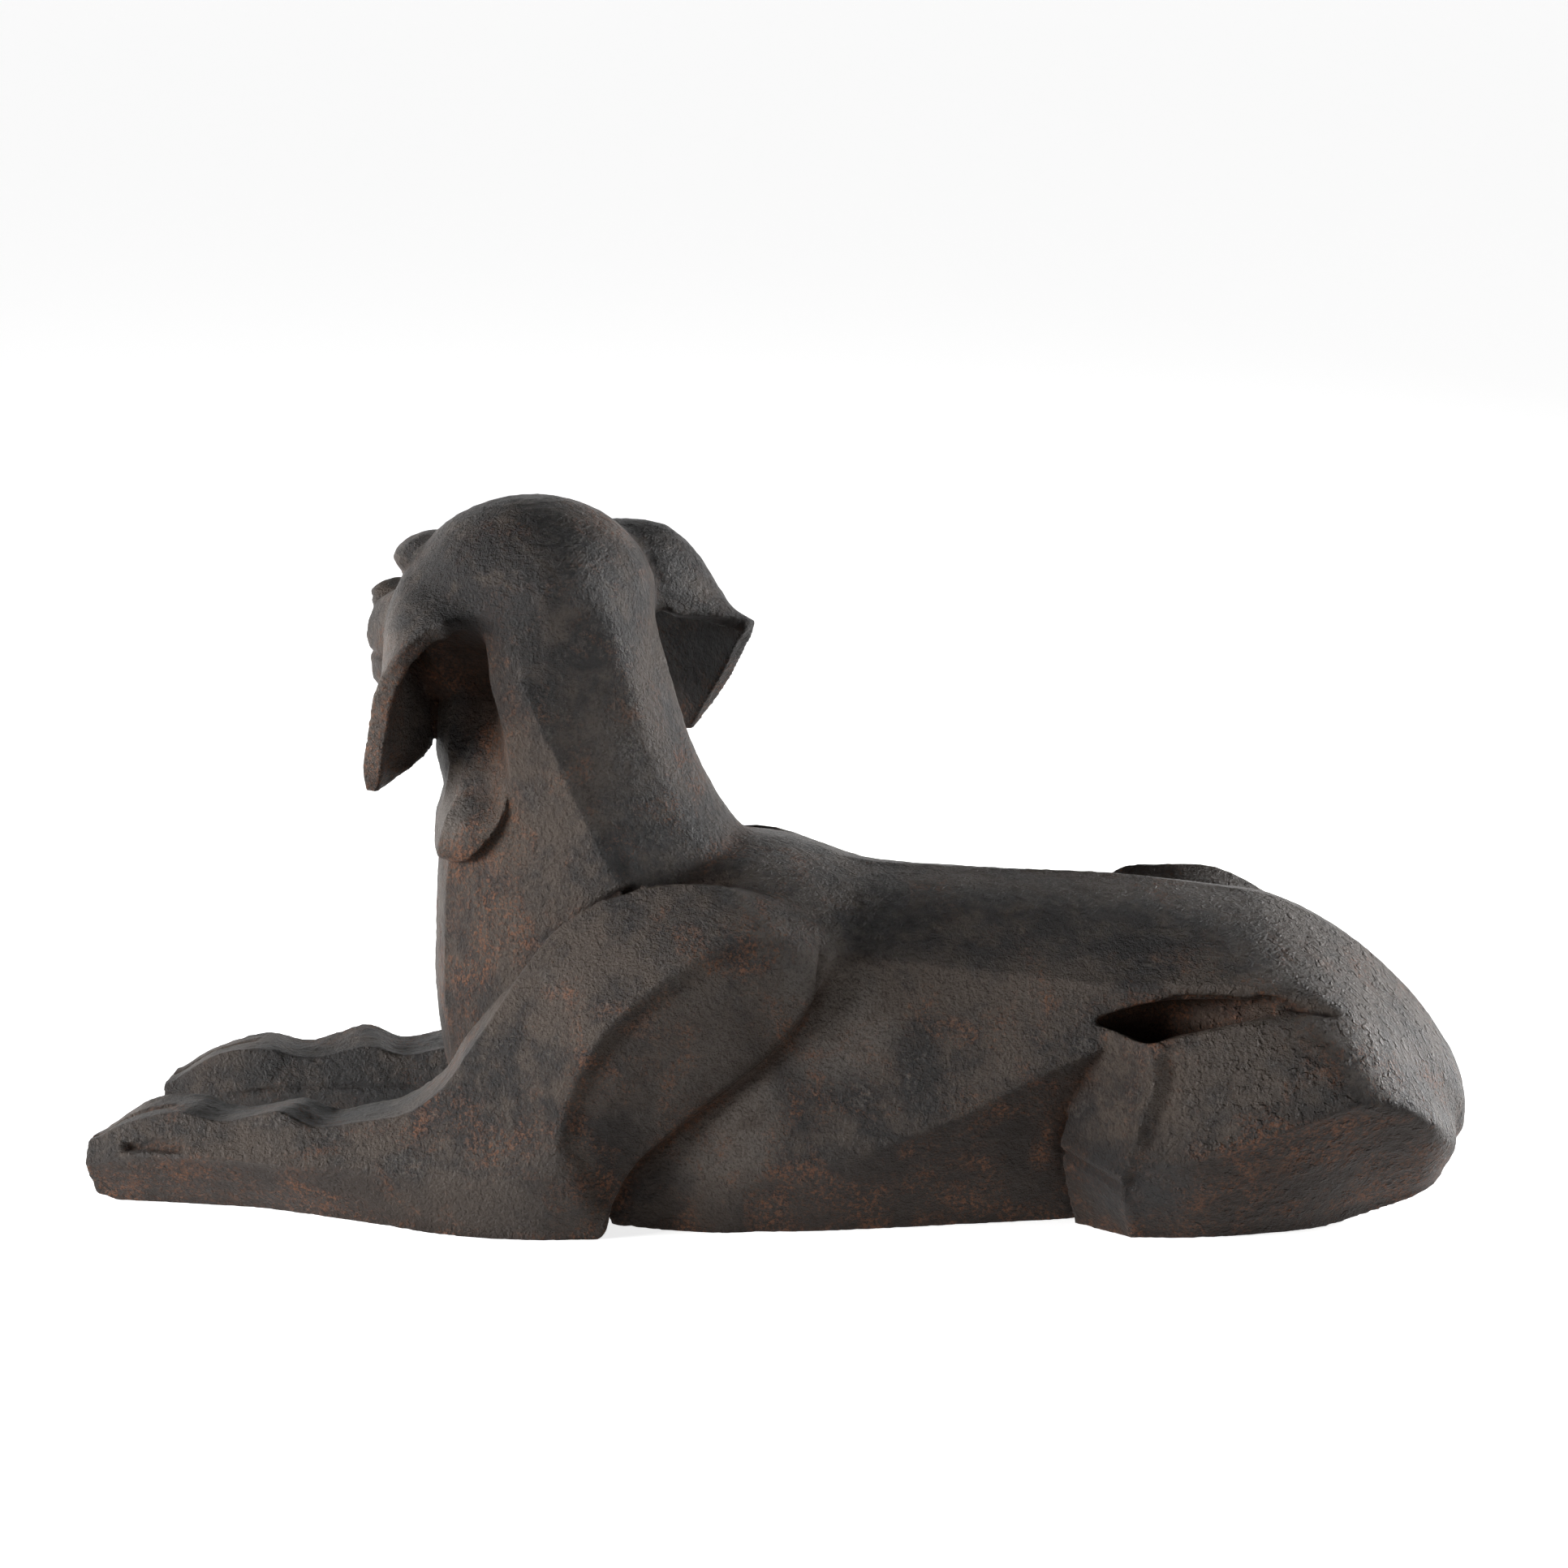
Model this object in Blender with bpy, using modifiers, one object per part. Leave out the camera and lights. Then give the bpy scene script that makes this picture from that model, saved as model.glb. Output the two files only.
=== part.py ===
"""Reclining hound, one casting.

The hound lies on the ground with its head turned to its right side. +X is the tail end, -X the
forefeet, -Y the left side of the hound, +Z up. The origin is on the ground under the middle.
"""
import math

import bmesh
import bpy
import numpy as np
from mathutils import Matrix, Vector

# Driving dimensions, in metres
LENGTH = 0.800
GRAIN = 0.0018
TRIANGLES = 9400
SHARP_ANGLE = math.radians(38)
METAL_COLOUR = (0.075, 0.066, 0.060, 1)

# Every place and size below is in eight-hundredths of the length: millimetres at full size
UNIT = LENGTH / 800

# The head: centre of the skull, turn of the face from straight across the body, nod of the nose
SKULL = (-152, 24, 345)
FACE_TURN = math.radians(39)
FACE_NOD = math.radians(8)

# Strips across an ear, and the rows over which it thins out at its tip
EAR_STRIPS = 12
EAR_TIP_ROWS = 6

# How far the right foreleg lies behind the left one
FORELEG_LAG = 17

# Share of a groove's length over which it fades at either end
FADE = 0.12

# Rounds of smoothing that melt the blends, and that take the steps off the whole skin
MELT_ROUNDS = 80
SKIN_ROUNDS = 2

# Rounds of smoothing of a groove's path once it is laid on the surface
LAYING_ROUNDS = 5


def mirrored(rail, lag=0):
    """The same rail on the right side of the hound, further back by the lag."""
    return [(x + lag, -y, z) for x, y, z in rail]


# Trunk: the carved lines that run from the shoulders to the rump
SPINE = [(-90, 0, 200), (-35, 0, 212), (-5, 0, 210), (20, 0, 204), (50, 0, 196), (110, 0, 193),
         (190, 0, 191), (250, 0, 185), (285, 0, 179), (320, 0, 162), (350, 0, 140), (377, 0, 110),
         (397, 3, 74), (400, 4, 42)]
RIM = [(-90, -48, 188), (-35, -52, 202), (-5, -52, 201), (20, -48, 195), (50, -40, 188),
       (110, -38, 184), (190, -39, 180), (250, -42, 176), (285, -44, 170), (320, -46, 153),
       (350, -44, 129), (377, -38, 101), (396, -26, 69), (398, -14, 42)]
FLANK = [(-90, -84, 160), (-35, -90, 168), (-5, -90, 168), (20, -87, 164), (50, -83, 159),
         (110, -82, 153), (190, -88, 147), (250, -93, 149), (285, -96, 148), (320, -98, 139),
         (350, -88, 116), (372, -66, 87), (388, -42, 60), (394, -20, 42)]
BELLY = [(-90, -102, 40), (-35, -109, 28), (-5, -111, 36), (20, -111, 42), (50, -110, 50),
         (110, -105, 74), (190, -98, 112), (250, -98, 108), (285, -98, 100), (320, -94, 92),
         (348, -80, 78), (370, -60, 62), (384, -36, 46), (390, -18, 36)]
KEEL = [(-90, -96, 2), (-35, -104, 0), (-5, -100, 0), (20, -97, 0), (50, -91, 0), (110, -76, 0),
        (190, -56, 1), (250, -50, 1), (285, -50, 1), (320, -44, 2), (345, -36, 8), (366, -26, 16),
        (380, -16, 24), (386, -8, 30)]

# Neck and chest: the carved lines that run up from the brisket to the skull
BREAST = [(-176, 0, 22), (-198, 0, 60), (-206, 0, 110), (-206, 0, 150), (-204, 0, 190),
          (-200, 0, 230), (-206, 4, 268), (-204, 10, 304), (-200, 16, 350), (-186, 24, 376),
          (-168, 28, 390)]
BREAST_EDGE = [(-166, -26, 22), (-188, -29, 60), (-196, -30, 110), (-196, -31, 150),
               (-194, -32, 190), (-190, -33, 230), (-190, -22, 268), (-184, -11, 304),
               (-186, -5, 350), (-182, 0, 376), (-166, 8, 391)]
THROAT = [(-125, -74, 22), (-142, -76, 60), (-147, -72, 110), (-148, -67, 150), (-148, -62, 190),
          (-151, -55, 230), (-156, -51, 270), (-165, -49, 310), (-180, -38, 350), (-174, -18, 377),
          (-162, -2, 393)]
NECK_RIDGE = [(-40, -88, 22), (-45, -90, 60), (-55, -90, 110), (-68, -87, 150), (-85, -78, 190),
              (-108, -69, 230), (-127, -63, 270), (-146, -58, 310), (-158, -52, 350),
              (-156, -30, 379), (-152, -8, 395)]
SCRUFF = [(15, -50, 22), (15, -50, 60), (12, -52, 110), (0, -48, 150), (-18, -42, 190),
          (-50, -38, 230), (-70, -36, 270), (-84, -38, 310), (-98, -38, 350), (-110, -20, 377),
          (-124, -2, 392)]
NAPE = [(25, 0, 22), (25, 0, 60), (22, 0, 110), (12, 0, 150), (-6, 0, 190), (-36, 0, 230),
        (-56, 0, 270), (-69, 4, 310), (-78, 12, 350), (-92, 18, 376), (-110, 20, 390)]

# Foreleg, shoulder to toes: front or outer top edge, outer ridge, rear or ground edge
FORELEG_TOP = [(14, -70, 184), (-34, -76, 200), (-82, -79, 194), (-114, -84, 177),
               (-134, -91, 157), (-154, -99, 128), (-170, -105, 104), (-186, -109, 82),
               (-208, -107, 66), (-237, -103, 59), (-262, -100, 55), (-283, -97, 62),
               (-301, -94, 58), (-320, -91, 54), (-346, -88, 58), (-377, -84, 49), (-399, -78, 36)]
FORELEG_RIDGE = [(34, -79, 172), (-3, -99, 179), (-39, -115, 165), (-71, -126, 143),
                 (-93, -131, 123), (-108, -132, 97), (-116, -132, 72), (-124, -132, 50),
                 (-150, -131, 37), (-198, -123, 36), (-240, -116, 36), (-275, -111, 36),
                 (-300, -107, 37), (-328, -103, 37), (-352, -100, 37), (-376, -96, 35),
                 (-399, -86, 26)]
FORELEG_FOOT = [(33, -82, 168), (31, -95, 152), (22, -102, 129), (-3, -107, 100),
                (-42, -112, 70), (-73, -116, 46), (-87, -118, 24), (-98, -122, 0), (-140, -127, 0),
                (-185, -121, 0), (-228, -104, 0), (-268, -90, 0), (-300, -80, 0), (-332, -76, 0),
                (-352, -74, 0), (-380, -72, 0), (-396, -72, 5)]
FORELEG_SOLE = [(20, -40, 160), (15, -45, 140), (0, -48, 110), (-20, -50, 80), (-50, -52, 50),
                (-80, -56, 25), (-92, -60, 6), (-108, -62, 0), (-150, -66, 0), (-190, -66, 0),
                (-232, -62, 0), (-270, -58, 0), (-300, -54, 0), (-332, -52, 0), (-352, -50, 0),
                (-380, -49, 0), (-396, -52, 5)]
FORELEG_INSIDE = [(0, -40, 170), (-34, -45, 165), (-60, -48, 140), (-85, -50, 115),
                  (-105, -52, 92), (-120, -55, 70), (-130, -58, 55), (-142, -60, 44),
                  (-172, -60, 38), (-212, -57, 36), (-246, -54, 36), (-276, -50, 36),
                  (-303, -47, 36), (-330, -44, 36), (-350, -43, 36), (-378, -44, 33),
                  (-400, -50, 24)]
FORELEG_INNER_TOP = [(5, -50, 178), (-36, -55, 184), (-83, -64, 180), (-115, -72, 165),
                     (-138, -79, 149), (-158, -81, 127), (-175, -78, 106), (-190, -66, 82),
                     (-214, -61, 64), (-238, -60, 57), (-256, -60, 54), (-277, -58, 59),
                     (-306, -55, 53), (-322, -54, 54), (-339, -52, 58), (-368, -50, 54),
                     (-401, -56, 33)]

# Left thigh, knee to buttock
THIGH_LIP = [(183, -91, 121), (216, -112, 123), (253, -113, 131), (300, -105, 138),
             (334, -88, 132), (362, -64, 104), (388, -32, 66)]
THIGH_SIDE = [(174, -92, 90), (218, -117, 97), (255, -119, 98), (298, -119, 106),
              (336, -111, 108), (369, -89, 87), (393, -47, 55)]
THIGH_FOLD = [(167, -90, 54), (201, -114, 43), (247, -123, 58), (292, -124, 74), (340, -118, 90),
              (376, -97, 73), (393, -55, 45)]
THIGH_FOOT = [(176, -70, 2), (208, -92, 0), (250, -88, 0), (302, -70, 0), (345, -46, 6),
              (376, -40, 18), (390, -25, 32)]
THIGH_SOLE = [(180, -45, 4), (210, -40, 0), (250, -40, 0), (302, -30, 0), (340, -20, 8),
              (371, -15, 19), (386, -10, 35)]
THIGH_ROOT = [(190, -55, 112), (215, -55, 118), (253, -55, 126), (300, -55, 132), (338, -50, 118),
              (362, -40, 92), (386, -20, 60)]

# Right thigh, raised: knee to buttock
KNEE_CREST = [(172, 92, 144), (193, 84, 172), (222, 80, 178), (254, 80, 176), (288, 74, 160),
              (330, 60, 133), (370, 44, 90)]
KNEE_SIDE = [(168, 108, 130), (190, 112, 152), (222, 118, 158), (258, 122, 148), (300, 118, 128),
             (345, 98, 98), (380, 60, 64)]
KNEE_FOLD = [(172, 112, 104), (186, 122, 80), (222, 130, 66), (262, 134, 52), (310, 128, 40),
             (355, 104, 34), (384, 60, 38)]
KNEE_FOOT = [(186, 104, 60), (190, 110, 10), (226, 118, 0), (266, 120, 0), (314, 112, 0),
             (352, 88, 6), (380, 48, 20)]
KNEE_SOLE = [(190, 60, 60), (195, 50, 10), (226, 50, 0), (266, 50, 0), (310, 46, 0),
             (348, 36, 6), (374, 26, 24)]
KNEE_ROOT = [(190, 60, 120), (206, 50, 150), (228, 46, 160), (256, 46, 160), (290, 44, 150),
             (328, 40, 128), (364, 30, 92)]

# Ears: rear edge and front edge, root to tip
LEFT_EAR_REAR = [(-158, -38, 342), (-180, -52, 341), (-199, -56, 335), (-213, -56, 322),
                 (-225, -52, 301), (-231, -46, 276), (-235, -40, 256), (-237, -34, 241)]
LEFT_EAR_FRONT = [(-200, 26, 384), (-216, 28, 364), (-224, 26, 338), (-220, 20, 310),
                  (-211, 14, 286), (-210, 6, 266), (-220, -8, 253), (-234, -27, 244)]
LEFT_EAR_BOW = [8, 12, 11, 9, 5, 3, 2, 0]
RIGHT_EAR_REAR = [(-104, 20, 344), (-84, 32, 338), (-64, 44, 333), (-44, 54, 329),
                  (-27, 62, 323), (-45, 82, 287), (-66, 98, 255)]
RIGHT_EAR_FRONT = [(-146, 74, 374), (-118, 96, 371), (-104, 112, 354), (-96, 122, 328),
                   (-94, 124, 306), (-96, 122, 280), (-88, 114, 255)]
RIGHT_EAR_BOW = [20, 28, 28, 19, 6, 3, 0]

# Dewlap: the bib under the throat, down to its rounded lower edge
DEWLAP_FRONT = [(-190, 0, 318), (-196, 0, 288), (-198, 0, 258), (-201, 0, 236), (-205, 0, 219),
                (-204, 0, 203), (-196, 0, 197)]
DEWLAP_SIDE = [(-176, -16, 318), (-182, -27, 288), (-187, -36, 258), (-190, -41, 236),
               (-194, -43, 219), (-197, -40, 205), (-194, -31, 198)]
DEWLAP_EDGE = [(-164, -30, 318), (-160, -42, 288), (-155, -50, 258), (-157, -54, 236),
               (-164, -55, 220), (-177, -51, 206), (-187, -42, 199)]
DEWLAP_BACK = [(-150, -20, 318), (-150, -20, 288), (-150, -20, 258), (-150, -20, 236),
               (-156, -20, 219), (-166, -20, 206), (-176, -20, 200)]

# Recess over the left thigh: overhanging lip, floor under it, and the thigh's edge
RECESS_LIP = [(184, -94, 129), (200, -94, 135), (216, -93, 139), (232, -92, 141),
              (260, -92, 141.5), (290, -94, 141), (324, -100, 137)]
RECESS_WALL = [(186, -90, 128), (202, -80, 131), (218, -76, 134), (234, -77, 136), (262, -82, 138),
               (291, -89, 139.5), (324, -99, 136.8)]
RECESS_FLOOR = [(184, -92, 126), (202, -80, 118), (218, -76, 113), (234, -80, 118),
                (262, -90, 127), (291, -98, 135), (324, -101, 136)]
RECESS_EDGE = [(184, -104, 126), (200, -112, 121), (216, -118, 119), (232, -119, 124),
               (260, -119, 131), (290, -116, 136.6), (324, -106, 136.4)]

# Line that the lip draws on over the thigh, as a fine groove
LIP_LINE = [(222, -93, 139), (245, -93, 140.5), (270, -94, 140.8), (292, -97, 139.5),
            (308, -98, 137), (322, -98, 133.5)]

# Blends: lines along which the forms melt into one another, and how far
BLENDS = [(SCRUFF[3:9], 24), (RIM, 18), ([(-66, 0, 250), (-36, 0, 222), (10, 0, 204)], 30),
          ([(-60, -45, 222), (-20, -58, 205), (20, -70, 190), (36, -82, 170)], 34),
          (THIGH_LIP[3:], 30), (RECESS_EDGE[3:], 13), (THIGH_SIDE[4:], 24), (FLANK[9:], 24),
          ([(388, -44, 60), (398, 0, 58), (388, 44, 60)], 34),
          ([(-150, -52, 330), (-110, -46, 330), (-84, -10, 335), (-78, 12, 340)], 26),
          ([(-92, 20, 372), (-92, 50, 386), (-104, 84, 384)], 20),
          ([(-214, 80, 370), (-240, 62, 366)], 14),
          ([(-212, 4, 374), (-198, -26, 362), (-176, -46, 346)], 18)]

# Grooves of the left foreleg: the crease over the shoulder, the line behind the arm from the
# withers to the elbow, those between and beside the toes, and the ledge inside the leg
SHOULDER_CREASE = [(-150, -84, 133), (-122, -81, 165), (-93, -79, 184), (-71, -78, 194),
                   (-52, -76, 201), (-20, -70, 205)]
ELBOW_GROOVE = [(31, -84, 184), (31, -96, 152), (24, -101, 133), (6, -106, 107), (-22, -110, 84),
                (-49, -112, 66), (-74, -113, 47), (-87, -113, 30), (-92, -112, 8),
                (-94, -112, -8)]
TOE_GROOVE = [(-346, -72, 60), (-368, -71, 54), (-384, -70, 48), (-397, -69, 39), (-404, -69, 20)]
TOE_SLOT = [(-338, -102, 43), (-352, -100, 43), (-366, -98, 43), (-380, -95, 42)]
INNER_LEDGE = [(-190, -56, 36), (-236, -46, 36), (-288, -42, 39), (-326, -40, 36), (-360, -40, 31)]

# These grooves with their widths and depths, pressed into both sides of the hound
LIMB_GROOVES = [(SHOULDER_CREASE, 9, 7), (ELBOW_GROOVE, 7, 4.5), (TOE_GROOVE, 7, 4),
                (TOE_SLOT, 12, 6), (INNER_LEDGE, 6, 3)]

# Scoop between the left ear and the neck, down to the dewlap: its path, its depths along it,
# its radius, and the direction in which it is pressed in
SCOOP = [(-184, -30, 338), (-182, -30, 304), (-178, -36, 274), (-177, -42, 250), (-184, -44, 224)]
SCOOP_DEPTHS = [24, 24, 18, 12, 8]
SCOOP_RADIUS = 26
SCOOP_WAY = (0.5, 0.86, 0)

# The face, in the head's own axes: creases that melt, then the lines of eyelid, mouth and nostril
FACE_BLENDS = [([(78, 8, 18), (76, 30, 16), (60, 52, 12)], 16), ([(80, 30, 0), (60, 54, -8)], 14),
               ([(78, 40, -30), (60, 56, -30), (20, 60, -40)], 18), ([(84, 0, 24), (100, 0, 14)], 16),
               ([(150, 0, 10), (166, 14, -6), (168, 0, -14)], 8),
               ([(84, 30, -40), (122, 34, -34), (160, 24, -34)], 12)]
FACE_GROOVES = [([(79, 20, 9), (78, 33, 6), (68, 47, 8)], 6, 3),
                ([(170, 2, -27), (160, 22, -30), (120, 34, -36), (88, 38, -40)], 6, 3.5),
                ([(176, 6, -1), (172, 13, 1), (165, 17, 4)], 5, 3)]

# Tail: from the rump round the right thigh, as places and radii
TAIL = [(366, 14, 62), (376, 40, 44), (368, 76, 23), (342, 108, 15), (302, 134, 11), (256, 145, 8)]
TAIL_RADII = [18, 15, 13, 11, 9, 5]

# Right hind foot, hock to toes: top, side, foot
HIND_FOOT_TOP = [(330, 120, 34), (270, 128, 32), (210, 128, 34), (180, 127, 33), (160, 126, 22)]
HIND_FOOT_SIDE = [(334, 136, 16), (270, 144, 16), (210, 145, 16), (178, 143, 15), (158, 138, 10)]
HIND_FOOT_SOLE = [(334, 132, 0), (270, 138, 0), (210, 139, 0), (178, 138, 0), (158, 134, 2)]
HIND_FOOT_INSIDE = [(330, 90, 0), (270, 100, 0), (210, 108, 0), (178, 110, 0), (158, 114, 2)]
HIND_FOOT_ROOT = [(330, 90, 30), (270, 104, 28), (210, 108, 28), (178, 110, 27), (158, 114, 17)]


def rail_points(rail, steps, corners=()):
    """Points along a smooth curve through the rail, which turns sharply at its corners."""
    knots = np.array(rail, dtype=float)
    last = len(knots) - 1
    arriving = np.zeros_like(knots)
    leaving = np.zeros_like(knots)
    for i in range(last + 1):
        before = knots[i] - knots[max(i - 1, 0)]
        after = knots[min(i + 1, last)] - knots[i]
        if i in (0, last) or i in corners:
            arriving[i] = before
            leaving[i] = after
        else:
            arriving[i] = leaving[i] = (before + after) / 2
    points = [knots[0]]
    for i in range(last):
        for k in range(1, steps + 1):
            t = k / steps
            points.append((2 * t ** 3 - 3 * t ** 2 + 1) * knots[i]
                          + (t ** 3 - 2 * t ** 2 + t) * leaving[i]
                          + (3 * t ** 2 - 2 * t ** 3) * knots[i + 1]
                          + (t ** 3 - t ** 2) * arriving[i + 1])
    return np.array(points)


def section(corners, across, swell):
    """A ring through the corner points, whose sides swell outwards by a share of their length."""
    centre = corners.mean(axis=0)
    ring = []
    for here, there in zip(corners, np.roll(corners, -1, axis=0)):
        side = there - here
        length = max(np.linalg.norm(side), 1e-6)
        out = (here + there) / 2 - centre
        out = out - side * (out @ side) / length ** 2
        out = out / max(np.linalg.norm(out), 1e-6)
        for k in range(across):
            t = k / across
            ring.append(here + side * t + out * swell * length * 4 * t * (1 - t))
    return ring


def add_rings(bm, rings):
    """A closed skin over the rings, which all have the same number of points."""
    loops = [[bm.verts.new(Vector(point) * UNIT) for point in ring] for ring in rings]
    size = len(loops[0])
    faces = []
    for first, second in zip(loops, loops[1:]):
        for k in range(size):
            n = (k + 1) % size
            faces.append(bm.faces.new((first[k], first[n], second[n], second[k])))
    for loop in (loops[0], loops[-1]):
        middle = bm.verts.new(sum((vert.co for vert in loop), Vector()) / size)
        for k in range(size):
            faces.append(bm.faces.new((loop[k], loop[(k + 1) % size], middle)))
    bmesh.ops.recalc_face_normals(bm, faces=faces)


def add_shell(bm, rails, steps=6, across=5, swell=0.05, corners=()):
    """A closed form whose carved edges are the rails."""
    lines = [rail_points(rail, steps, corners) for rail in rails]
    add_rings(bm, [section(np.array(knots), across, swell) for knots in zip(*lines)])


def add_ear(bm, rear, front, bow, out, thickness, corners=()):
    """A hanging leaf between its rear and front edges, bowed outwards."""
    out = np.array(out) / np.linalg.norm(out)
    lines = [rail_points(rail, 6, corners) for rail in (rear, front, [(b,) for b in bow])]
    shares = np.linspace(0, 1, EAR_STRIPS + 1)[:, None]
    arch = 4 * shares * (1 - shares)
    leaf = np.array([near * (1 - shares) + far * shares + out * bulge * arch
                     for near, far, bulge in zip(*lines)])
    normals = np.cross(np.gradient(leaf, axis=0), np.gradient(leaf, axis=1))
    normals /= np.linalg.norm(normals, axis=2, keepdims=True)
    depth = thickness / 2 * (0.7 + 0.3 * arch ** 0.5)
    tips = np.minimum(np.arange(len(leaf), 0, -1) / EAR_TIP_ROWS, 1) ** 0.5
    raised = depth * normals * tips[:, None, None]
    add_rings(bm, [np.concatenate((row + rise, (row - rise)[::-1]))
                   for row, rise in zip(leaf, raised)])


def add_lobe(bm, centre, radii):
    """An egg-shaped swelling on the head, placed by its own axes: nose, left cheek, crown."""
    shape = bmesh.ops.create_uvsphere(bm, u_segments=40, v_segments=24, radius=1)
    for vert in shape["verts"]:
        vert.co = head_point([c + r * v for c, r, v in zip(centre, radii, vert.co)]) * UNIT


def add_tail(bm):
    """A tapering tail round its path."""
    path = rail_points(TAIL, 6)
    radii = rail_points([(radius,) for radius in TAIL_RADII], 6)
    rings = []
    for k, (centre, radius) in enumerate(zip(path, radii)):
        ahead = path[min(k + 1, len(path) - 1)] - path[max(k - 1, 0)]
        across = np.cross(ahead, (0, 0, 1))
        across = across / np.linalg.norm(across)
        upward = np.cross(across, ahead)
        upward = upward / np.linalg.norm(upward)
        angles = [2 * math.pi * n / 24 for n in range(24)]
        rings.append([centre + radius * (across * math.cos(a) + upward * math.sin(a))
                      for a in angles])
    add_rings(bm, rings)


def head_point(place):
    """A place on the head, from the head's own axes to the hound's."""
    turn = Matrix.Rotation(FACE_TURN + math.pi / 2, 3, "Z") @ Matrix.Rotation(FACE_NOD, 3, "Y")
    return Vector(SKULL) + turn @ Vector(place)


def oval(ahead, half_width, top, bottom):
    """Eight corners of a muzzle section, in the head's own axes."""
    height = top - bottom
    half = [(0, top), (0.7 * half_width, top - 0.1 * height), (half_width, top - 0.55 * height),
            (0.75 * half_width, bottom + 0.1 * height), (0, bottom)]
    return [(ahead, y, z) for y, z in half + [(-y, z) for y, z in half[3:0:-1]]]


def add_head(bm):
    """Skull and muzzle, with brows, closed eyes, cheeks, lips and nose."""
    add_lobe(bm, (0, 0, -2), (80, 72, 62))
    sections = [oval(20, 58, 49, -62), oval(56, 50, 38, -64), oval(80, 38, 19, -63),
                oval(118, 32, 12, -59), oval(148, 27, 6, -53), oval(162, 22, 0, -46),
                oval(170, 13, -8, -38)]
    rails = [[head_point(corner) for corner in rail] for rail in zip(*sections)]
    add_shell(bm, rails, swell=0.08)
    for side in (1, -1):
        add_lobe(bm, (46, side * 31, 27), (29, 26, 16))
        add_lobe(bm, (63, side * 34, 9), (15, 17, 13))
        add_lobe(bm, (34, side * 36, -34), (48, 23, 30))
        add_lobe(bm, (122, side * 19, -34), (40, 13, 25))
    add_lobe(bm, (160, 0, -1), (15, 17, 12))


def temporary(fill):
    """A loose object with the mesh that the fill function makes."""
    bm = bmesh.new()
    fill(bm)
    mesh = bpy.data.meshes.new("Shell")
    bm.to_mesh(mesh)
    bm.free()
    shell = bpy.data.objects.new("Shell", mesh)
    bpy.context.scene.collection.objects.link(shell)
    return shell


def finished_mesh(shape):
    """The mesh that the object's modifiers make of it."""
    graph = bpy.context.evaluated_depsgraph_get()
    return bpy.data.meshes.new_from_object(shape.evaluated_get(graph))


def fill_trunk(bm):
    left = [SPINE, RIM, FLANK, BELLY, KEEL]
    add_shell(bm, left + [mirrored(rail) for rail in left[:0:-1]], swell=0.02)


def fill_thigh(bm):
    add_shell(bm, [THIGH_LIP, THIGH_SIDE, THIGH_FOLD, THIGH_FOOT, THIGH_SOLE, THIGH_ROOT],
              swell=0.03, corners=(1,))


def fill_recess(bm):
    beyond = [(x, y - 30, z) for x, y, z in RECESS_LIP]
    below = [(x, y - 30, z - 8) for x, y, z in RECESS_EDGE]
    add_shell(bm, [RECESS_LIP, RECESS_WALL, RECESS_FLOOR, RECESS_EDGE, below, beyond], swell=0)


def fill_rest(bm):
    left = [BREAST, BREAST_EDGE, THROAT, NECK_RIDGE, SCRUFF, NAPE]
    add_shell(bm, left + [mirrored(rail) for rail in left[-2:0:-1]], swell=0.04)
    foreleg = [FORELEG_TOP, FORELEG_RIDGE, FORELEG_FOOT, FORELEG_SOLE, FORELEG_INSIDE,
               FORELEG_INNER_TOP]
    add_shell(bm, foreleg, swell=0.03)
    add_shell(bm, [mirrored(rail, FORELEG_LAG) for rail in foreleg], swell=0.03)
    add_shell(bm, [KNEE_CREST, KNEE_SIDE, KNEE_FOLD, KNEE_FOOT, KNEE_SOLE, KNEE_ROOT], swell=0.04)
    add_shell(bm, [HIND_FOOT_TOP, HIND_FOOT_SIDE, HIND_FOOT_SOLE, HIND_FOOT_INSIDE,
                   HIND_FOOT_ROOT], swell=0.05)
    add_tail(bm)
    add_head(bm)
    add_ear(bm, LEFT_EAR_REAR, LEFT_EAR_FRONT, LEFT_EAR_BOW, (-1, -0.1, 0.2), 12)
    add_ear(bm, RIGHT_EAR_REAR, RIGHT_EAR_FRONT, RIGHT_EAR_BOW, (0.6, -0.1, 0.8), 11, (4,))
    left = [DEWLAP_FRONT, DEWLAP_SIDE, DEWLAP_EDGE, DEWLAP_BACK]
    add_shell(bm, left + [mirrored(rail) for rail in left[:0:-1]], swell=0.04)


def distances(points, path, reach):
    """Points within reach of the path: which they are, how far off, and their place along it."""
    low = path.min(axis=0) - reach
    high = path.max(axis=0) + reach
    near = np.flatnonzero(((points > low) & (points < high)).all(axis=1))
    best = np.full(len(near), np.inf)
    place = np.zeros(len(near))
    for k, (start, end) in enumerate(zip(path, path[1:])):
        along = end - start
        t = np.clip((points[near] - start) @ along / (along @ along), 0, 1)
        away = np.linalg.norm(points[near] - start - t[:, None] * along, axis=1)
        closer = away < best
        best[closer] = away[closer]
        place[closer] = (k + t[closer]) / (len(path) - 1)
    return near, best, place


def laid_on(points, path, reach):
    """The smooth path moved onto the surface, each place to the nearest point within reach."""
    path = rail_points(path, 6)
    near = points[((points > path.min(axis=0) - reach)
                   & (points < path.max(axis=0) + reach)).all(axis=1)]
    laid = np.array([near[((near - place) ** 2).sum(axis=1).argmin()] for place in path])
    laid = laid[np.append(True, np.abs(np.diff(laid, axis=0)).max(axis=1) > 0)]
    for _ in range(LAYING_ROUNDS):
        laid[1:-1] = (laid[:-2] + 2 * laid[1:-1] + laid[2:]) / 4
    return laid


def fade(place):
    """How much of its depth a groove has at a place along its path: none at the two ends."""
    return np.clip(np.minimum(place, 1 - place) / FADE, 0, 1)


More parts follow.
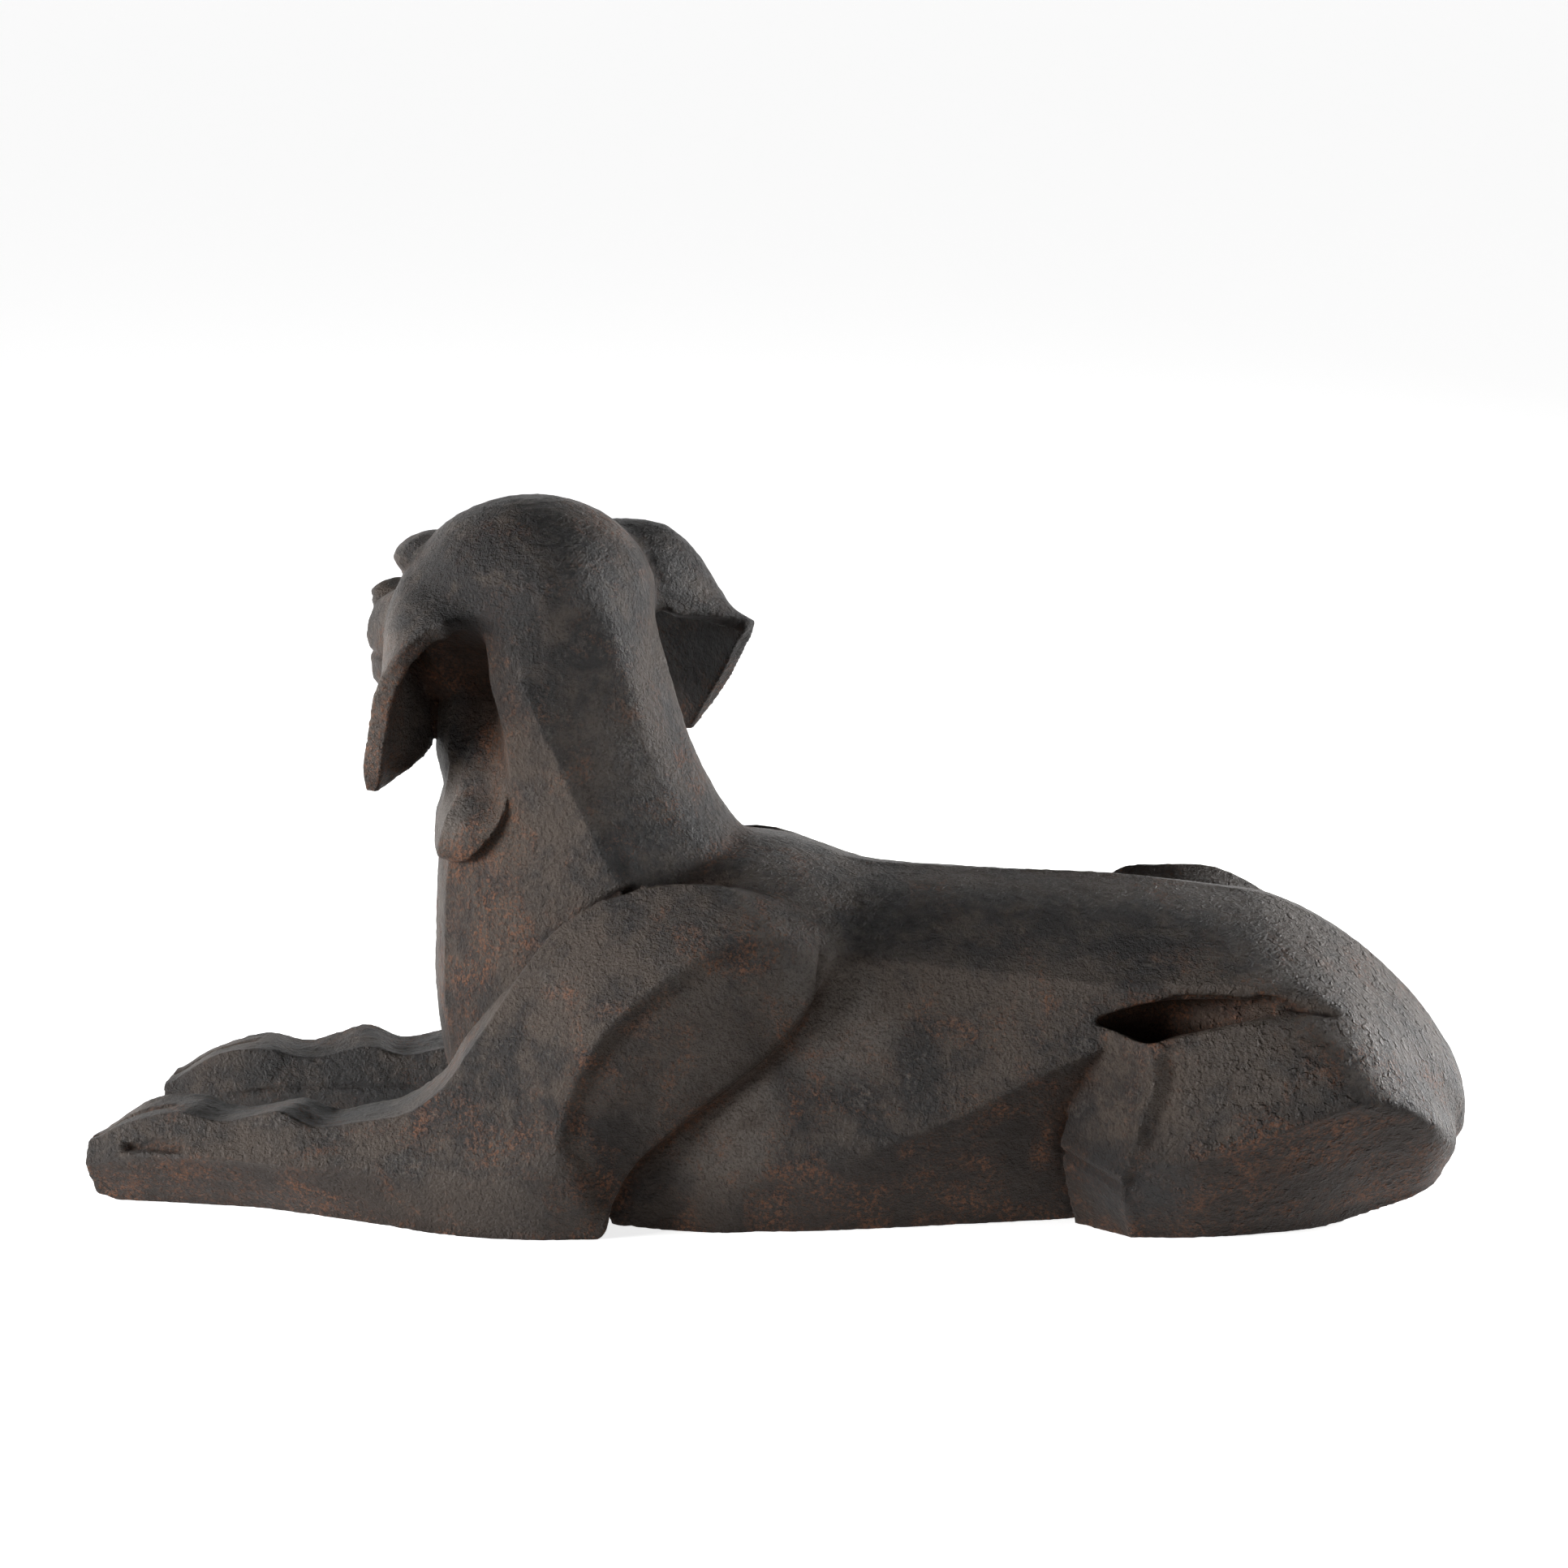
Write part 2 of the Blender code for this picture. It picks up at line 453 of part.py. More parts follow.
def carve(points, normals, path, width, depth):
    """Press a V-shaped groove into the surface along the path."""
    near, off, place = distances(points, laid_on(points, path, width), width)
    press = depth * fade(place) * np.clip(1 - 2 * off / width, 0, 1)
    points[near] -= normals[near] * press[:, None]


def scoop(points, side):
    """Press a round hollow into the surface, beside the left ear (1) or the right (-1)."""
    mirror = np.array((1, side, 1))
    near, off, place = distances(points, rail_points(SCOOP, 6) * mirror, SCOOP_RADIUS)
    depth = np.interp(place, np.linspace(0, 1, len(SCOOP_DEPTHS)), SCOOP_DEPTHS)
    press = depth * fade(place) * np.clip(1 - (off / SCOOP_RADIUS) ** 2, 0, 1)
    points[near] += SCOOP_WAY * mirror * press[:, None]


def soften(points, edges, weights, rounds):
    """Smooth the surface where the weights say."""
    count = np.bincount(edges.ravel(), minlength=len(points))[:, None]
    for _ in range(rounds):
        total = np.stack([np.bincount(edges[:, 0], points[edges[:, 1], k], len(points))
                          + np.bincount(edges[:, 1], points[edges[:, 0], k], len(points))
                          for k in range(3)], axis=1)
        points += weights[:, None] * 0.5 * (total / count - points)


def vertex_normals(mesh, points):
    """The mesh's normals once its vertices lie at the points."""
    mesh.vertices.foreach_set("co", (points * UNIT).ravel())
    mesh.update()
    normals = np.empty(3 * len(points), dtype=np.float32)
    mesh.vertex_normals.foreach_get("vector", normals)
    return normals.reshape(-1, 3)


def face_lines():
    """The blends and the grooves of the face, on both of its sides."""
    def both(lines):
        return [([head_point((x, side * y, z)) for x, y, z in path], *sizes)
                for path, *sizes in lines for side in (1, -1)]
    return both(FACE_BLENDS), both(FACE_GROOVES)


def carve_surface(mesh):
    """Blend the fused forms into one another and press the grooves into them."""
    points = np.empty(3 * len(mesh.vertices), dtype=np.float32)
    mesh.vertices.foreach_get("co", points)
    points = points.reshape(-1, 3).astype(float) / UNIT
    edges = np.empty(2 * len(mesh.edges), dtype=np.int32)
    mesh.edges.foreach_get("vertices", edges)
    edges = edges.reshape(-1, 2)
    weights = np.zeros(len(points))
    face_blends, face_grooves = face_lines()
    blends = [(line, reach) for path, reach in BLENDS for line in (path, mirrored(path))]
    for line, reach in blends + face_blends:
        near, off, _ = distances(points, rail_points(line, 6), reach)
        weights[near] = np.maximum(weights[near], np.clip(1.5 - 1.5 * off / reach, 0, 1))
    soften(points, edges, weights, MELT_ROUNDS)
    for side in (1, -1):
        scoop(points, side)
    grooves = [(line, width, depth) for path, width, depth in LIMB_GROOVES
               for line in (path, mirrored(path, FORELEG_LAG))]
    grooves.append((LIP_LINE, 7, 4.5))
    for line, width, depth in grooves + face_grooves:
        carve(points, vertex_normals(mesh, points), line, width, depth)
    soften(points, edges, np.ones(len(points)), SKIN_ROUNDS)
    points[:, 2] = np.maximum(points[:, 2], 0)
    vertex_normals(mesh, points)


def cast_metal():
    """Dark cast metal with a dull, slightly rusty skin."""
    material = bpy.data.materials.new("Cast metal")
    material.use_nodes = True
    shader = material.node_tree.nodes["Principled BSDF"]
    shader.inputs["Base Color"].default_value = METAL_COLOUR
    shader.inputs["Metallic"].default_value = 0.4
    shader.inputs["Roughness"].default_value = 0.6
    return material


def main():
    for old in list(bpy.data.objects):
        bpy.data.objects.remove(old, do_unlink=True)
    recess = temporary(fill_recess)
    shells = [temporary(fill) for fill in (fill_trunk, fill_thigh, fill_rest)]
    joined = bmesh.new()
    for shell in shells:
        if shell is not shells[-1]:
            cut = shell.modifiers.new("Recess", "BOOLEAN")
            cut.operation = "DIFFERENCE"
            cut.object = recess
        joined.from_mesh(finished_mesh(shell))
    mesh = bpy.data.meshes.new("Hound")
    joined.to_mesh(mesh)
    joined.free()
    for old in shells + [recess]:
        bpy.data.objects.remove(old, do_unlink=True)

    collection = bpy.data.collections.new("Reclining hound")
    bpy.context.scene.collection.children.link(collection)
    hound = bpy.data.objects.new("Hound", mesh)
    collection.objects.link(hound)
    fuse = hound.modifiers.new("Fuse", "REMESH")
    fuse.mode = "VOXEL"
    fuse.voxel_size = GRAIN
    fused = finished_mesh(hound)
    hound.modifiers.clear()
    hound.data = fused
    carve_surface(fused)
    thin = hound.modifiers.new("Thin", "DECIMATE")
    thin.ratio = TRIANGLES / (2 * len(fused.polygons))
    hound.data = finished_mesh(hound)
    hound.data.name = "Hound"
    hound.modifiers.clear()
    hound.data.materials.clear()
    hound.data.materials.append(cast_metal())
    hound.data.shade_smooth()
    hound.data.set_sharp_from_angle(angle=SHARP_ANGLE)


main()
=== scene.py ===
"""Looks of the reclining hound: its fine cast skin and patina, and the studio it is shown in."""

import math

import bmesh
import bpy
import numpy as np
from mathutils import Matrix, Vector


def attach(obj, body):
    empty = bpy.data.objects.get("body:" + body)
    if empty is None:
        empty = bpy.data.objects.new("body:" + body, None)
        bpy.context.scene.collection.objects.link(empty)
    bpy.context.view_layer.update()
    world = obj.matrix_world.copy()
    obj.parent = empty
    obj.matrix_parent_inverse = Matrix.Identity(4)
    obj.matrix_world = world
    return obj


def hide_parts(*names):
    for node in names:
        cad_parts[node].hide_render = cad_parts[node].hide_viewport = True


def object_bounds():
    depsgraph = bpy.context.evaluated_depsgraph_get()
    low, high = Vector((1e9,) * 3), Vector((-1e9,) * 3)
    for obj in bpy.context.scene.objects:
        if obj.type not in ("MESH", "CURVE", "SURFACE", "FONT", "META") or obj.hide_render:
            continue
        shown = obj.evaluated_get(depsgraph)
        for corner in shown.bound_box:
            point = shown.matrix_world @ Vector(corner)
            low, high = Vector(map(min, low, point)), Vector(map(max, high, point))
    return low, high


bl_info = {
    "name": "Reclining Hound",
    "version": (1, 0, 0),
    "blender": (4, 5, 0),
    "location": "View3D > Sidebar > Hound",
    "description": "Builds the cast skin of a reclining hound and the studio round it",
    "category": "Object",
}

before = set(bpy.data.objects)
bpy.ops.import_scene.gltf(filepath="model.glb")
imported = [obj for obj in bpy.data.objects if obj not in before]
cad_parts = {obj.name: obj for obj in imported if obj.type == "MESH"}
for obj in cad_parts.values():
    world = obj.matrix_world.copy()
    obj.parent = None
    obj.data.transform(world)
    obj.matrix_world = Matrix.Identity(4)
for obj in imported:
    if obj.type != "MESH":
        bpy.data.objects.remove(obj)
CAD_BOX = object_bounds()

# Places and sizes are in eight-hundredths of the length, millimetres at full size, except where
# a comment says metres
UNIT = 0.001

# Width of the pebbled grain and of the slow unevenness under it, in metres, and how many layers
# of finer grain each carries
GRAIN_SIZE = 0.005
DIMPLE_SIZE = 0.016
GRAIN_LAYERS = 2

# Where the skin counts as fully hollow or deep: how far it lies below its near or its wider
# surroundings, in metres, and the rounds of smoothing that find those
HOLLOW_DEPTH = 0.0015
DEEP_DEPTH = 0.010
NEAR_ROUNDS = 24
WIDE_ROUNDS = 240

# How much upright skin counts as facing down, and how fast that changes as it tilts. What faces down
# is painted with brown shade, and gets more rust
UNDER_UPRIGHT = 0.3
UNDER_SLOPE = 1.4

# The head: centre of the skull, turn of the face from straight across the body, nod of the nose
SKULL = (-152, 24, 345)
FACE_TURN = math.radians(39)
FACE_NOD = math.radians(8)

# Patches of the patina and of painted shade and light, as centres and radii in metres, and the shares
# of their radii at which they begin and at which they are full. Black ones, painted shade with some
# dirt between the forelegs: under the rim of the back, beside the left ear's root, on the right ear,
# between the forelegs, under the left knee and in the hollow behind the left ear
PATCH_MARKS = (1.0, 0.5)
SHADE_PATCHES = [((0.150, -0.062, 0.176), (0.190, 0.055, 0.028)),
                ((-0.178, -0.036, 0.358), (0.062, 0.060, 0.046)),
                ((-0.065, 0.075, 0.345), (0.078, 0.080, 0.085)),
                ((-0.270, 0.045, 0.022), (0.170, 0.070, 0.052)),
                ((0.205, -0.110, 0.036), (0.050, 0.045, 0.036)),
                ((-0.184, -0.034, 0.312), (0.034, 0.040, 0.046))]

# Paler ones of painted light: behind the line of the arm, on the left ear's face and on the dewlap
LIGHT_PATCHES = [((-0.030, -0.114, 0.072), (0.052, 0.040, 0.062)),
                ((0.036, -0.104, 0.128), (0.050, 0.040, 0.050)),
                ((-0.228, -0.040, 0.290), (0.022, 0.045, 0.070)),
                ((-0.196, -0.040, 0.222), (0.022, 0.035, 0.040))]

# Rusty ones: in the recess over the left thigh, where the rust is also painted light, and on the
# chest's side
RUST_AND_LIGHT_PATCHES = [((0.222, -0.084, 0.125), (0.064, 0.036, 0.028)),
                 ((-0.168, -0.060, 0.190), (0.040, 0.045, 0.075))]

# Points between two places of a rail, along a side of a section, and round the tail
RAIL_STEPS = 6
SIDE_STEPS = 5
TAIL_SIDES = 24

# Strips across an ear, the rows over which it thins out at its tip, and the shares of its
# thickness that its edges have, and that its middle has on top
EAR_STRIPS = 12
EAR_TIP_ROWS = 6
EAR_EDGE = 0.7
EAR_MIDDLE = 0.3

# How far the right foreleg lies behind the left one
FORELEG_LAG = 17

# Share of a groove's length over which it fades at either end
FADE = 0.12

# Rounds of smoothing that melt the blends on cells of the given side, and that take the steps
# off the whole skin, and how far each round moves a point towards its neighbours' middle
MELT_ROUNDS = 80
MELT_MESH = 1.8
SKIN_ROUNDS = 1
ROUND_SHARE = 0.5

# How steeply a blend fades out towards its reach, from full weight round its line
BLEND_SLOPE = 1.5

# Rounds of smoothing of a groove's path once it is laid on the surface
LAYING_ROUNDS = 5

# Plane edges: the width that is smoothed away to find them, the share of what then stands
# out that is added to it, and the most that is added
EDGE_REACH = 12
EDGE_SHARE = 1.0
EDGE_RISE = 2.0

# Shortest length that is divided by
TINY = 1e-6


def mirrored(rail, lag=0):
    """The same rail on the right side of the hound, further back by the lag."""
    return [(x + lag, -y, z) for x, y, z in rail]


# Trunk: the carved lines that run from the shoulders to the rump
SPINE = [(-90, 0, 200), (-35, 0, 212), (-5, 0, 210), (20, 0, 204), (50, 0, 196), (110, 0, 193),
         (190, 0, 191), (250, 0, 185), (285, 0, 179), (320, 0, 162), (350, 0, 140), (377, 0, 110),
         (397, 3, 74), (400, 4, 42)]
RIM = [(-90, -48, 188), (-35, -52, 202), (-5, -52, 201), (20, -48, 195), (50, -40, 188),
       (110, -38, 184), (190, -39, 180), (250, -42, 176), (285, -44, 170), (320, -46, 153),
       (350, -44, 129), (377, -38, 101), (396, -26, 69), (398, -14, 42)]
FLANK = [(-90, -84, 160), (-35, -90, 168), (-5, -90, 168), (20, -87, 164), (50, -83, 159),
         (110, -82, 153), (190, -88, 147), (250, -93, 149), (285, -96, 148), (320, -98, 139),
         (350, -88, 116), (372, -66, 87), (388, -42, 60), (394, -20, 42)]
BELLY = [(-90, -102, 40), (-35, -109, 28), (-5, -111, 36), (20, -111, 42), (50, -110, 50),
         (110, -105, 74), (190, -98, 112), (250, -98, 108), (285, -98, 100), (320, -94, 92),
         (348, -80, 78), (370, -60, 62), (384, -36, 46), (390, -18, 36)]
KEEL = [(-90, -96, 2), (-35, -104, 0), (-5, -100, 0), (20, -97, 0), (50, -91, 0), (110, -76, 0),
        (190, -56, 1), (250, -50, 1), (285, -50, 1), (320, -44, 2), (345, -36, 8), (366, -26, 16),
        (380, -16, 24), (386, -8, 30)]

# Neck and chest: the carved lines that run up from the brisket to the skull
BREAST = [(-176, 0, 22), (-198, 0, 60), (-206, 0, 110), (-206, 0, 150), (-204, 0, 190),
          (-200, 0, 230), (-206, 4, 268), (-204, 10, 304), (-200, 16, 350), (-186, 24, 376),
          (-168, 28, 390)]
BREAST_EDGE = [(-166, -26, 22), (-188, -29, 60), (-196, -30, 110), (-196, -31, 150),
               (-194, -32, 190), (-190, -33, 230), (-190, -22, 268), (-184, -11, 304),
               (-186, -5, 350), (-182, 0, 376), (-166, 8, 391)]
THROAT = [(-125, -74, 22), (-142, -76, 60), (-147, -72, 110), (-148, -67, 150), (-148, -62, 190),
          (-151, -55, 230), (-156, -51, 270), (-165, -49, 310), (-180, -38, 350), (-174, -18, 377),
          (-162, -2, 393)]
NECK_RIDGE = [(-40, -88, 22), (-45, -90, 60), (-55, -90, 110), (-68, -87, 150), (-85, -78, 190),
              (-108, -69, 230), (-127, -63, 270), (-146, -58, 310), (-158, -52, 350),
              (-156, -30, 379), (-152, -8, 395)]
SCRUFF = [(15, -50, 22), (15, -50, 60), (12, -52, 110), (0, -48, 150), (-18, -42, 190),
          (-50, -38, 230), (-70, -36, 270), (-84, -38, 310), (-98, -38, 350), (-110, -20, 377),
          (-124, -2, 392)]
NAPE = [(25, 0, 22), (25, 0, 60), (22, 0, 110), (12, 0, 150), (-6, 0, 190), (-36, 0, 230),
        (-56, 0, 270), (-69, 4, 310), (-78, 12, 350), (-92, 18, 376), (-110, 20, 390)]

# Foreleg, shoulder to toes: front or outer top edge, outer ridge, rear or ground edge
FORELEG_TOP = [(14, -70, 184), (-34, -76, 200), (-82, -79, 194), (-114, -84, 177),
               (-134, -91, 157), (-154, -99, 128), (-170, -105, 104), (-186, -109, 82),
               (-208, -107, 66), (-237, -103, 59), (-262, -100, 55), (-283, -97, 62),
               (-301, -94, 58), (-320, -91, 54), (-346, -88, 58), (-377, -84, 49), (-399, -78, 36)]
FORELEG_RIDGE = [(34, -79, 172), (-3, -99, 179), (-39, -115, 165), (-71, -126, 143),
                 (-93, -131, 123), (-108, -132, 97), (-116, -132, 72), (-124, -132, 50),
                 (-150, -131, 37), (-198, -123, 36), (-240, -116, 36), (-275, -111, 36),
                 (-300, -107, 37), (-328, -103, 37), (-352, -100, 37), (-376, -96, 35),
                 (-399, -86, 26)]
FORELEG_FOOT = [(33, -82, 168), (31, -95, 152), (22, -102, 129), (-3, -107, 100),
                (-42, -112, 70), (-73, -116, 46), (-87, -118, 24), (-98, -122, 0), (-140, -127, 0),
                (-185, -121, 0), (-228, -104, 0), (-268, -90, 0), (-300, -80, 0), (-332, -76, 0),
                (-352, -74, 0), (-380, -72, 0), (-396, -72, 5)]
FORELEG_SOLE = [(20, -40, 160), (15, -45, 140), (0, -48, 110), (-20, -50, 80), (-50, -52, 50),
                (-80, -56, 25), (-92, -60, 6), (-108, -62, 0), (-150, -66, 0), (-190, -66, 0),
                (-232, -62, 0), (-270, -58, 0), (-300, -54, 0), (-332, -52, 0), (-352, -50, 0),
                (-380, -49, 0), (-396, -52, 5)]
FORELEG_INSIDE = [(0, -40, 170), (-34, -45, 165), (-60, -48, 140), (-85, -50, 115),
                  (-105, -52, 92), (-120, -55, 70), (-130, -58, 55), (-142, -60, 44),
                  (-172, -60, 38), (-212, -57, 36), (-246, -54, 36), (-276, -50, 36),
                  (-303, -47, 36), (-330, -44, 36), (-350, -43, 36), (-378, -44, 33),
                  (-400, -50, 24)]
FORELEG_INNER_TOP = [(5, -50, 178), (-36, -55, 184), (-83, -64, 180), (-115, -72, 165),
                     (-138, -79, 149), (-158, -81, 127), (-175, -78, 106), (-190, -66, 82),
                     (-214, -61, 64), (-238, -60, 57), (-256, -60, 54), (-277, -58, 59),
                     (-306, -55, 53), (-322, -54, 54), (-339, -52, 58), (-368, -50, 54),
                     (-401, -56, 33)]

# Left thigh, knee to buttock, and the place at which its rails turn sharply, at the end of the
# knee facet
THIGH_CORNER = 1
THIGH_LIP = [(183, -91, 121), (216, -112, 123), (253, -113, 131), (300, -105, 138),
             (334, -88, 132), (362, -64, 104), (388, -32, 66)]
THIGH_SIDE = [(174, -92, 90), (218, -117, 97), (255, -119, 98), (298, -119, 106),
              (336, -111, 108), (369, -89, 87), (393, -47, 55)]
THIGH_FOLD = [(167, -90, 54), (201, -114, 43), (247, -123, 58), (292, -124, 74), (340, -118, 90),
              (376, -97, 73), (393, -55, 45)]
THIGH_FOOT = [(176, -70, 2), (208, -92, 0), (250, -88, 0), (302, -70, 0), (345, -46, 6),
              (376, -40, 18), (390, -25, 32)]
THIGH_SOLE = [(180, -45, 4), (210, -40, 0), (250, -40, 0), (302, -30, 0), (340, -20, 8),
              (371, -15, 19), (386, -10, 35)]
THIGH_ROOT = [(190, -55, 112), (215, -55, 118), (253, -55, 126), (300, -55, 132), (338, -50, 118),
              (362, -40, 92), (386, -20, 60)]

# Right thigh, raised: knee to buttock
KNEE_CREST = [(172, 92, 144), (193, 84, 172), (222, 80, 178), (254, 80, 176), (288, 74, 160),
              (330, 60, 133), (370, 44, 90)]
KNEE_SIDE = [(168, 108, 130), (190, 112, 152), (222, 118, 158), (258, 122, 148), (300, 118, 128),
             (345, 98, 98), (380, 60, 64)]
KNEE_FOLD = [(172, 112, 104), (186, 122, 80), (222, 130, 66), (262, 134, 52), (310, 128, 40),
             (355, 104, 34), (384, 60, 38)]
KNEE_FOOT = [(186, 104, 60), (190, 110, 10), (226, 118, 0), (266, 120, 0), (314, 112, 0),
             (352, 88, 6), (380, 48, 20)]
KNEE_SOLE = [(190, 60, 60), (195, 50, 10), (226, 50, 0), (266, 50, 0), (310, 46, 0),
             (348, 36, 6), (374, 26, 24)]
KNEE_ROOT = [(190, 60, 120), (206, 50, 150), (228, 46, 160), (256, 46, 160), (290, 44, 150),
             (328, 40, 128), (364, 30, 92)]

# Ears: rear edge and front edge, root to tip, how far the leaf bows out between them and which
# way, its thickness, and the place at which the right one turns sharply down
LEFT_EAR_REAR = [(-158, -38, 342), (-180, -52, 341), (-199, -56, 335), (-213, -56, 322),
                 (-225, -52, 301), (-231, -46, 276), (-235, -40, 256), (-237, -34, 241)]
LEFT_EAR_FRONT = [(-200, 26, 384), (-216, 28, 364), (-224, 26, 338), (-220, 20, 310),
                  (-211, 14, 286), (-210, 6, 266), (-220, -8, 253), (-234, -27, 244)]
LEFT_EAR_BOW = [8, 12, 11, 9, 5, 3, 2, 0]
LEFT_EAR_WAY = (-1, -0.1, 0.2)
LEFT_EAR_THICKNESS = 12
RIGHT_EAR_REAR = [(-104, 20, 344), (-84, 32, 338), (-64, 44, 333), (-44, 54, 329),
                  (-27, 62, 323), (-45, 82, 287), (-66, 98, 255)]
RIGHT_EAR_FRONT = [(-146, 74, 374), (-118, 96, 371), (-104, 112, 354), (-96, 122, 328),
                   (-94, 124, 306), (-96, 122, 280), (-88, 114, 255)]
RIGHT_EAR_BOW = [20, 28, 28, 19, 6, 3, 0]
RIGHT_EAR_WAY = (0.6, -0.1, 0.8)
RIGHT_EAR_THICKNESS = 11
RIGHT_EAR_CORNER = 4

# Dewlap: the bib under the throat, down to its rounded lower edge
DEWLAP_FRONT = [(-190, 0, 318), (-196, 0, 288), (-198, 0, 258), (-201, 0, 236), (-205, 0, 219),
                (-204, 0, 203), (-196, 0, 197)]
DEWLAP_SIDE = [(-176, -16, 318), (-182, -27, 288), (-187, -36, 258), (-190, -41, 236),
               (-194, -43, 219), (-197, -40, 205), (-194, -31, 198)]
DEWLAP_EDGE = [(-164, -30, 318), (-160, -42, 288), (-155, -50, 258), (-157, -54, 236),
               (-164, -55, 220), (-177, -51, 206), (-187, -42, 199)]
DEWLAP_BACK = [(-150, -20, 318), (-150, -20, 288), (-150, -20, 258), (-150, -20, 236),
               (-156, -20, 219), (-166, -20, 206), (-176, -20, 200)]

# Recess over the left thigh: overhanging lip, wall and floor under it, and the thigh's edge, and
# how far what is cut away goes on outwards and down beyond these
RECESS_LIP = [(184, -94, 129), (200, -94, 135), (216, -93, 139), (232, -92, 141),
              (260, -92, 141.5), (290, -94, 141), (324, -100, 137)]
RECESS_WALL = [(186, -90, 128), (202, -80, 131), (218, -76, 134), (234, -77, 136), (262, -82, 138),
               (291, -89, 139.5), (324, -99, 136.8)]
RECESS_FLOOR = [(184, -92, 126), (202, -80, 118), (218, -76, 113), (234, -80, 118),
                (262, -90, 127), (291, -98, 135), (324, -101, 136)]
RECESS_EDGE = [(184, -104, 126), (200, -112, 121), (216, -118, 119), (232, -119, 124),
               (260, -119, 131), (290, -116, 136.6), (324, -106, 136.4)]
RECESS_OUT = 30
RECESS_DOWN = 8

# Line that the lip draws on over the thigh, as a fine groove with its width and depth
LIP_LINE = [(222, -93, 139), (245, -93, 140.5), (270, -94, 140.8), (292, -97, 139.5),
            (308, -98, 137), (322, -98, 133.5)]
LIP_GROOVE = (LIP_LINE, 7, 4.5)

# Blends: lines along which the forms melt into one another, and how far
BLENDS = [(SCRUFF[3:9], 24), (RIM, 18), ([(-66, 0, 250), (-36, 0, 222), (10, 0, 204)], 30),
          ([(-60, -45, 222), (-20, -58, 205), (20, -70, 190), (36, -82, 170)], 34),
          (THIGH_LIP[3:], 30), (RECESS_EDGE[3:], 13), (THIGH_SIDE[4:], 24), (FLANK[9:], 24),
          ([(388, -44, 60), (398, 0, 58), (388, 44, 60)], 34),
          ([(-150, -52, 330), (-110, -46, 330), (-84, -10, 335), (-78, 12, 340)], 26),
          ([(-92, 20, 372), (-92, 50, 386), (-104, 84, 384)], 20),
          ([(-214, 80, 370), (-240, 62, 366)], 14),
          ([(-212, 4, 374), (-198, -26, 362), (-176, -46, 346)], 18)]

# Grooves of the left foreleg: the crease over the shoulder, the line behind the arm from the
# withers to the elbow, those between and beside the toes, and the ledge inside the leg
SHOULDER_CREASE = [(-150, -84, 133), (-122, -81, 165), (-93, -79, 184), (-71, -78, 194),
                   (-52, -76, 201), (-20, -70, 205)]
ELBOW_GROOVE = [(31, -84, 184), (31, -96, 152), (24, -101, 133), (6, -106, 107), (-22, -110, 84),
                (-49, -112, 66), (-74, -113, 47), (-87, -113, 30), (-92, -112, 8),
                (-94, -112, -8)]
TOE_GROOVE = [(-346, -72, 60), (-368, -71, 54), (-384, -70, 48), (-397, -69, 39), (-404, -69, 20)]
TOE_SLOT = [(-338, -102, 43), (-352, -100, 43), (-366, -98, 43), (-380, -95, 42)]
INNER_LEDGE = [(-190, -56, 36), (-236, -46, 36), (-288, -42, 39), (-326, -40, 36), (-360, -40, 31)]

# These grooves with their widths and depths, pressed into both forelegs
LIMB_GROOVES = [(SHOULDER_CREASE, 9, 7), (ELBOW_GROOVE, 7, 4.5), (TOE_GROOVE, 7, 4),
                (TOE_SLOT, 12, 6), (INNER_LEDGE, 6, 3)]

# Chisel lines in the skin alone, with their widths and depths, beside the edges of planes on the
# left side: right of the knee facet, under it, and behind the arm's ridge
KNEE_LINE = [(224, -117, 120), (227, -119, 106), (226, -119, 92), (218, -118, 66),
             (207, -115, 38), (205, -112, 24)]
KNEE_UNDER = [(160, -88, 50), (172, -95, 45), (190, -107, 37), (206, -115, 32)]
ARM_LINE = [(10, -98, 172), (-24, -112, 161), (-56, -121, 143), (-80, -127, 121),
            (-96, -130, 97), (-105, -130, 72), (-110, -130, 48)]
CHISEL_LINES = [(KNEE_LINE, 18, 2.6), (KNEE_UNDER, 9, 2.0), (ARM_LINE, 15, 1.8)]

# Scoop between the left ear and the neck, down to the dewlap: its path, its depths along it,
# its radius, and the direction in which it is pressed in
SCOOP = [(-184, -30, 338), (-182, -30, 304), (-178, -36, 274), (-177, -42, 250), (-184, -44, 224)]
SCOOP_DEPTHS = [24, 24, 18, 12, 8]
SCOOP_RADIUS = 26
SCOOP_WAY = (0.5, 0.86, 0)

# The head in its own axes: nose, left cheek, crown. Lobes are centres and radii: the skull, the
# tip of the nose, and on both sides brow, eye, cheek and lip
SKULL_LOBE = ((0, 0, -2), (80, 72, 62))
NOSE_LOBE = ((160, 0, -1), (15, 17, 12))
SIDE_LOBES = [((46, 31, 27), (29, 26, 16)), ((63, 34, 9), (15, 17, 13)),
              ((34, 36, -34), (48, 23, 30)), ((122, 19, -34), (40, 13, 25))]
LOBE_SEGMENTS = 40
LOBE_RINGS = 24

# The muzzle's sections: place ahead, half width, top and bottom, and the left half of a section,
# as shares of its half width across and of its height down
MUZZLE = [(20, 58, 49, -62), (56, 50, 38, -64), (80, 38, 19, -63), (118, 32, 12, -59),
          (148, 27, 6, -53), (162, 22, 0, -46), (170, 13, -8, -38)]
MUZZLE_HALF = [(0, 0), (0.7, 0.1), (1, 0.55), (0.75, 0.9), (0, 1)]

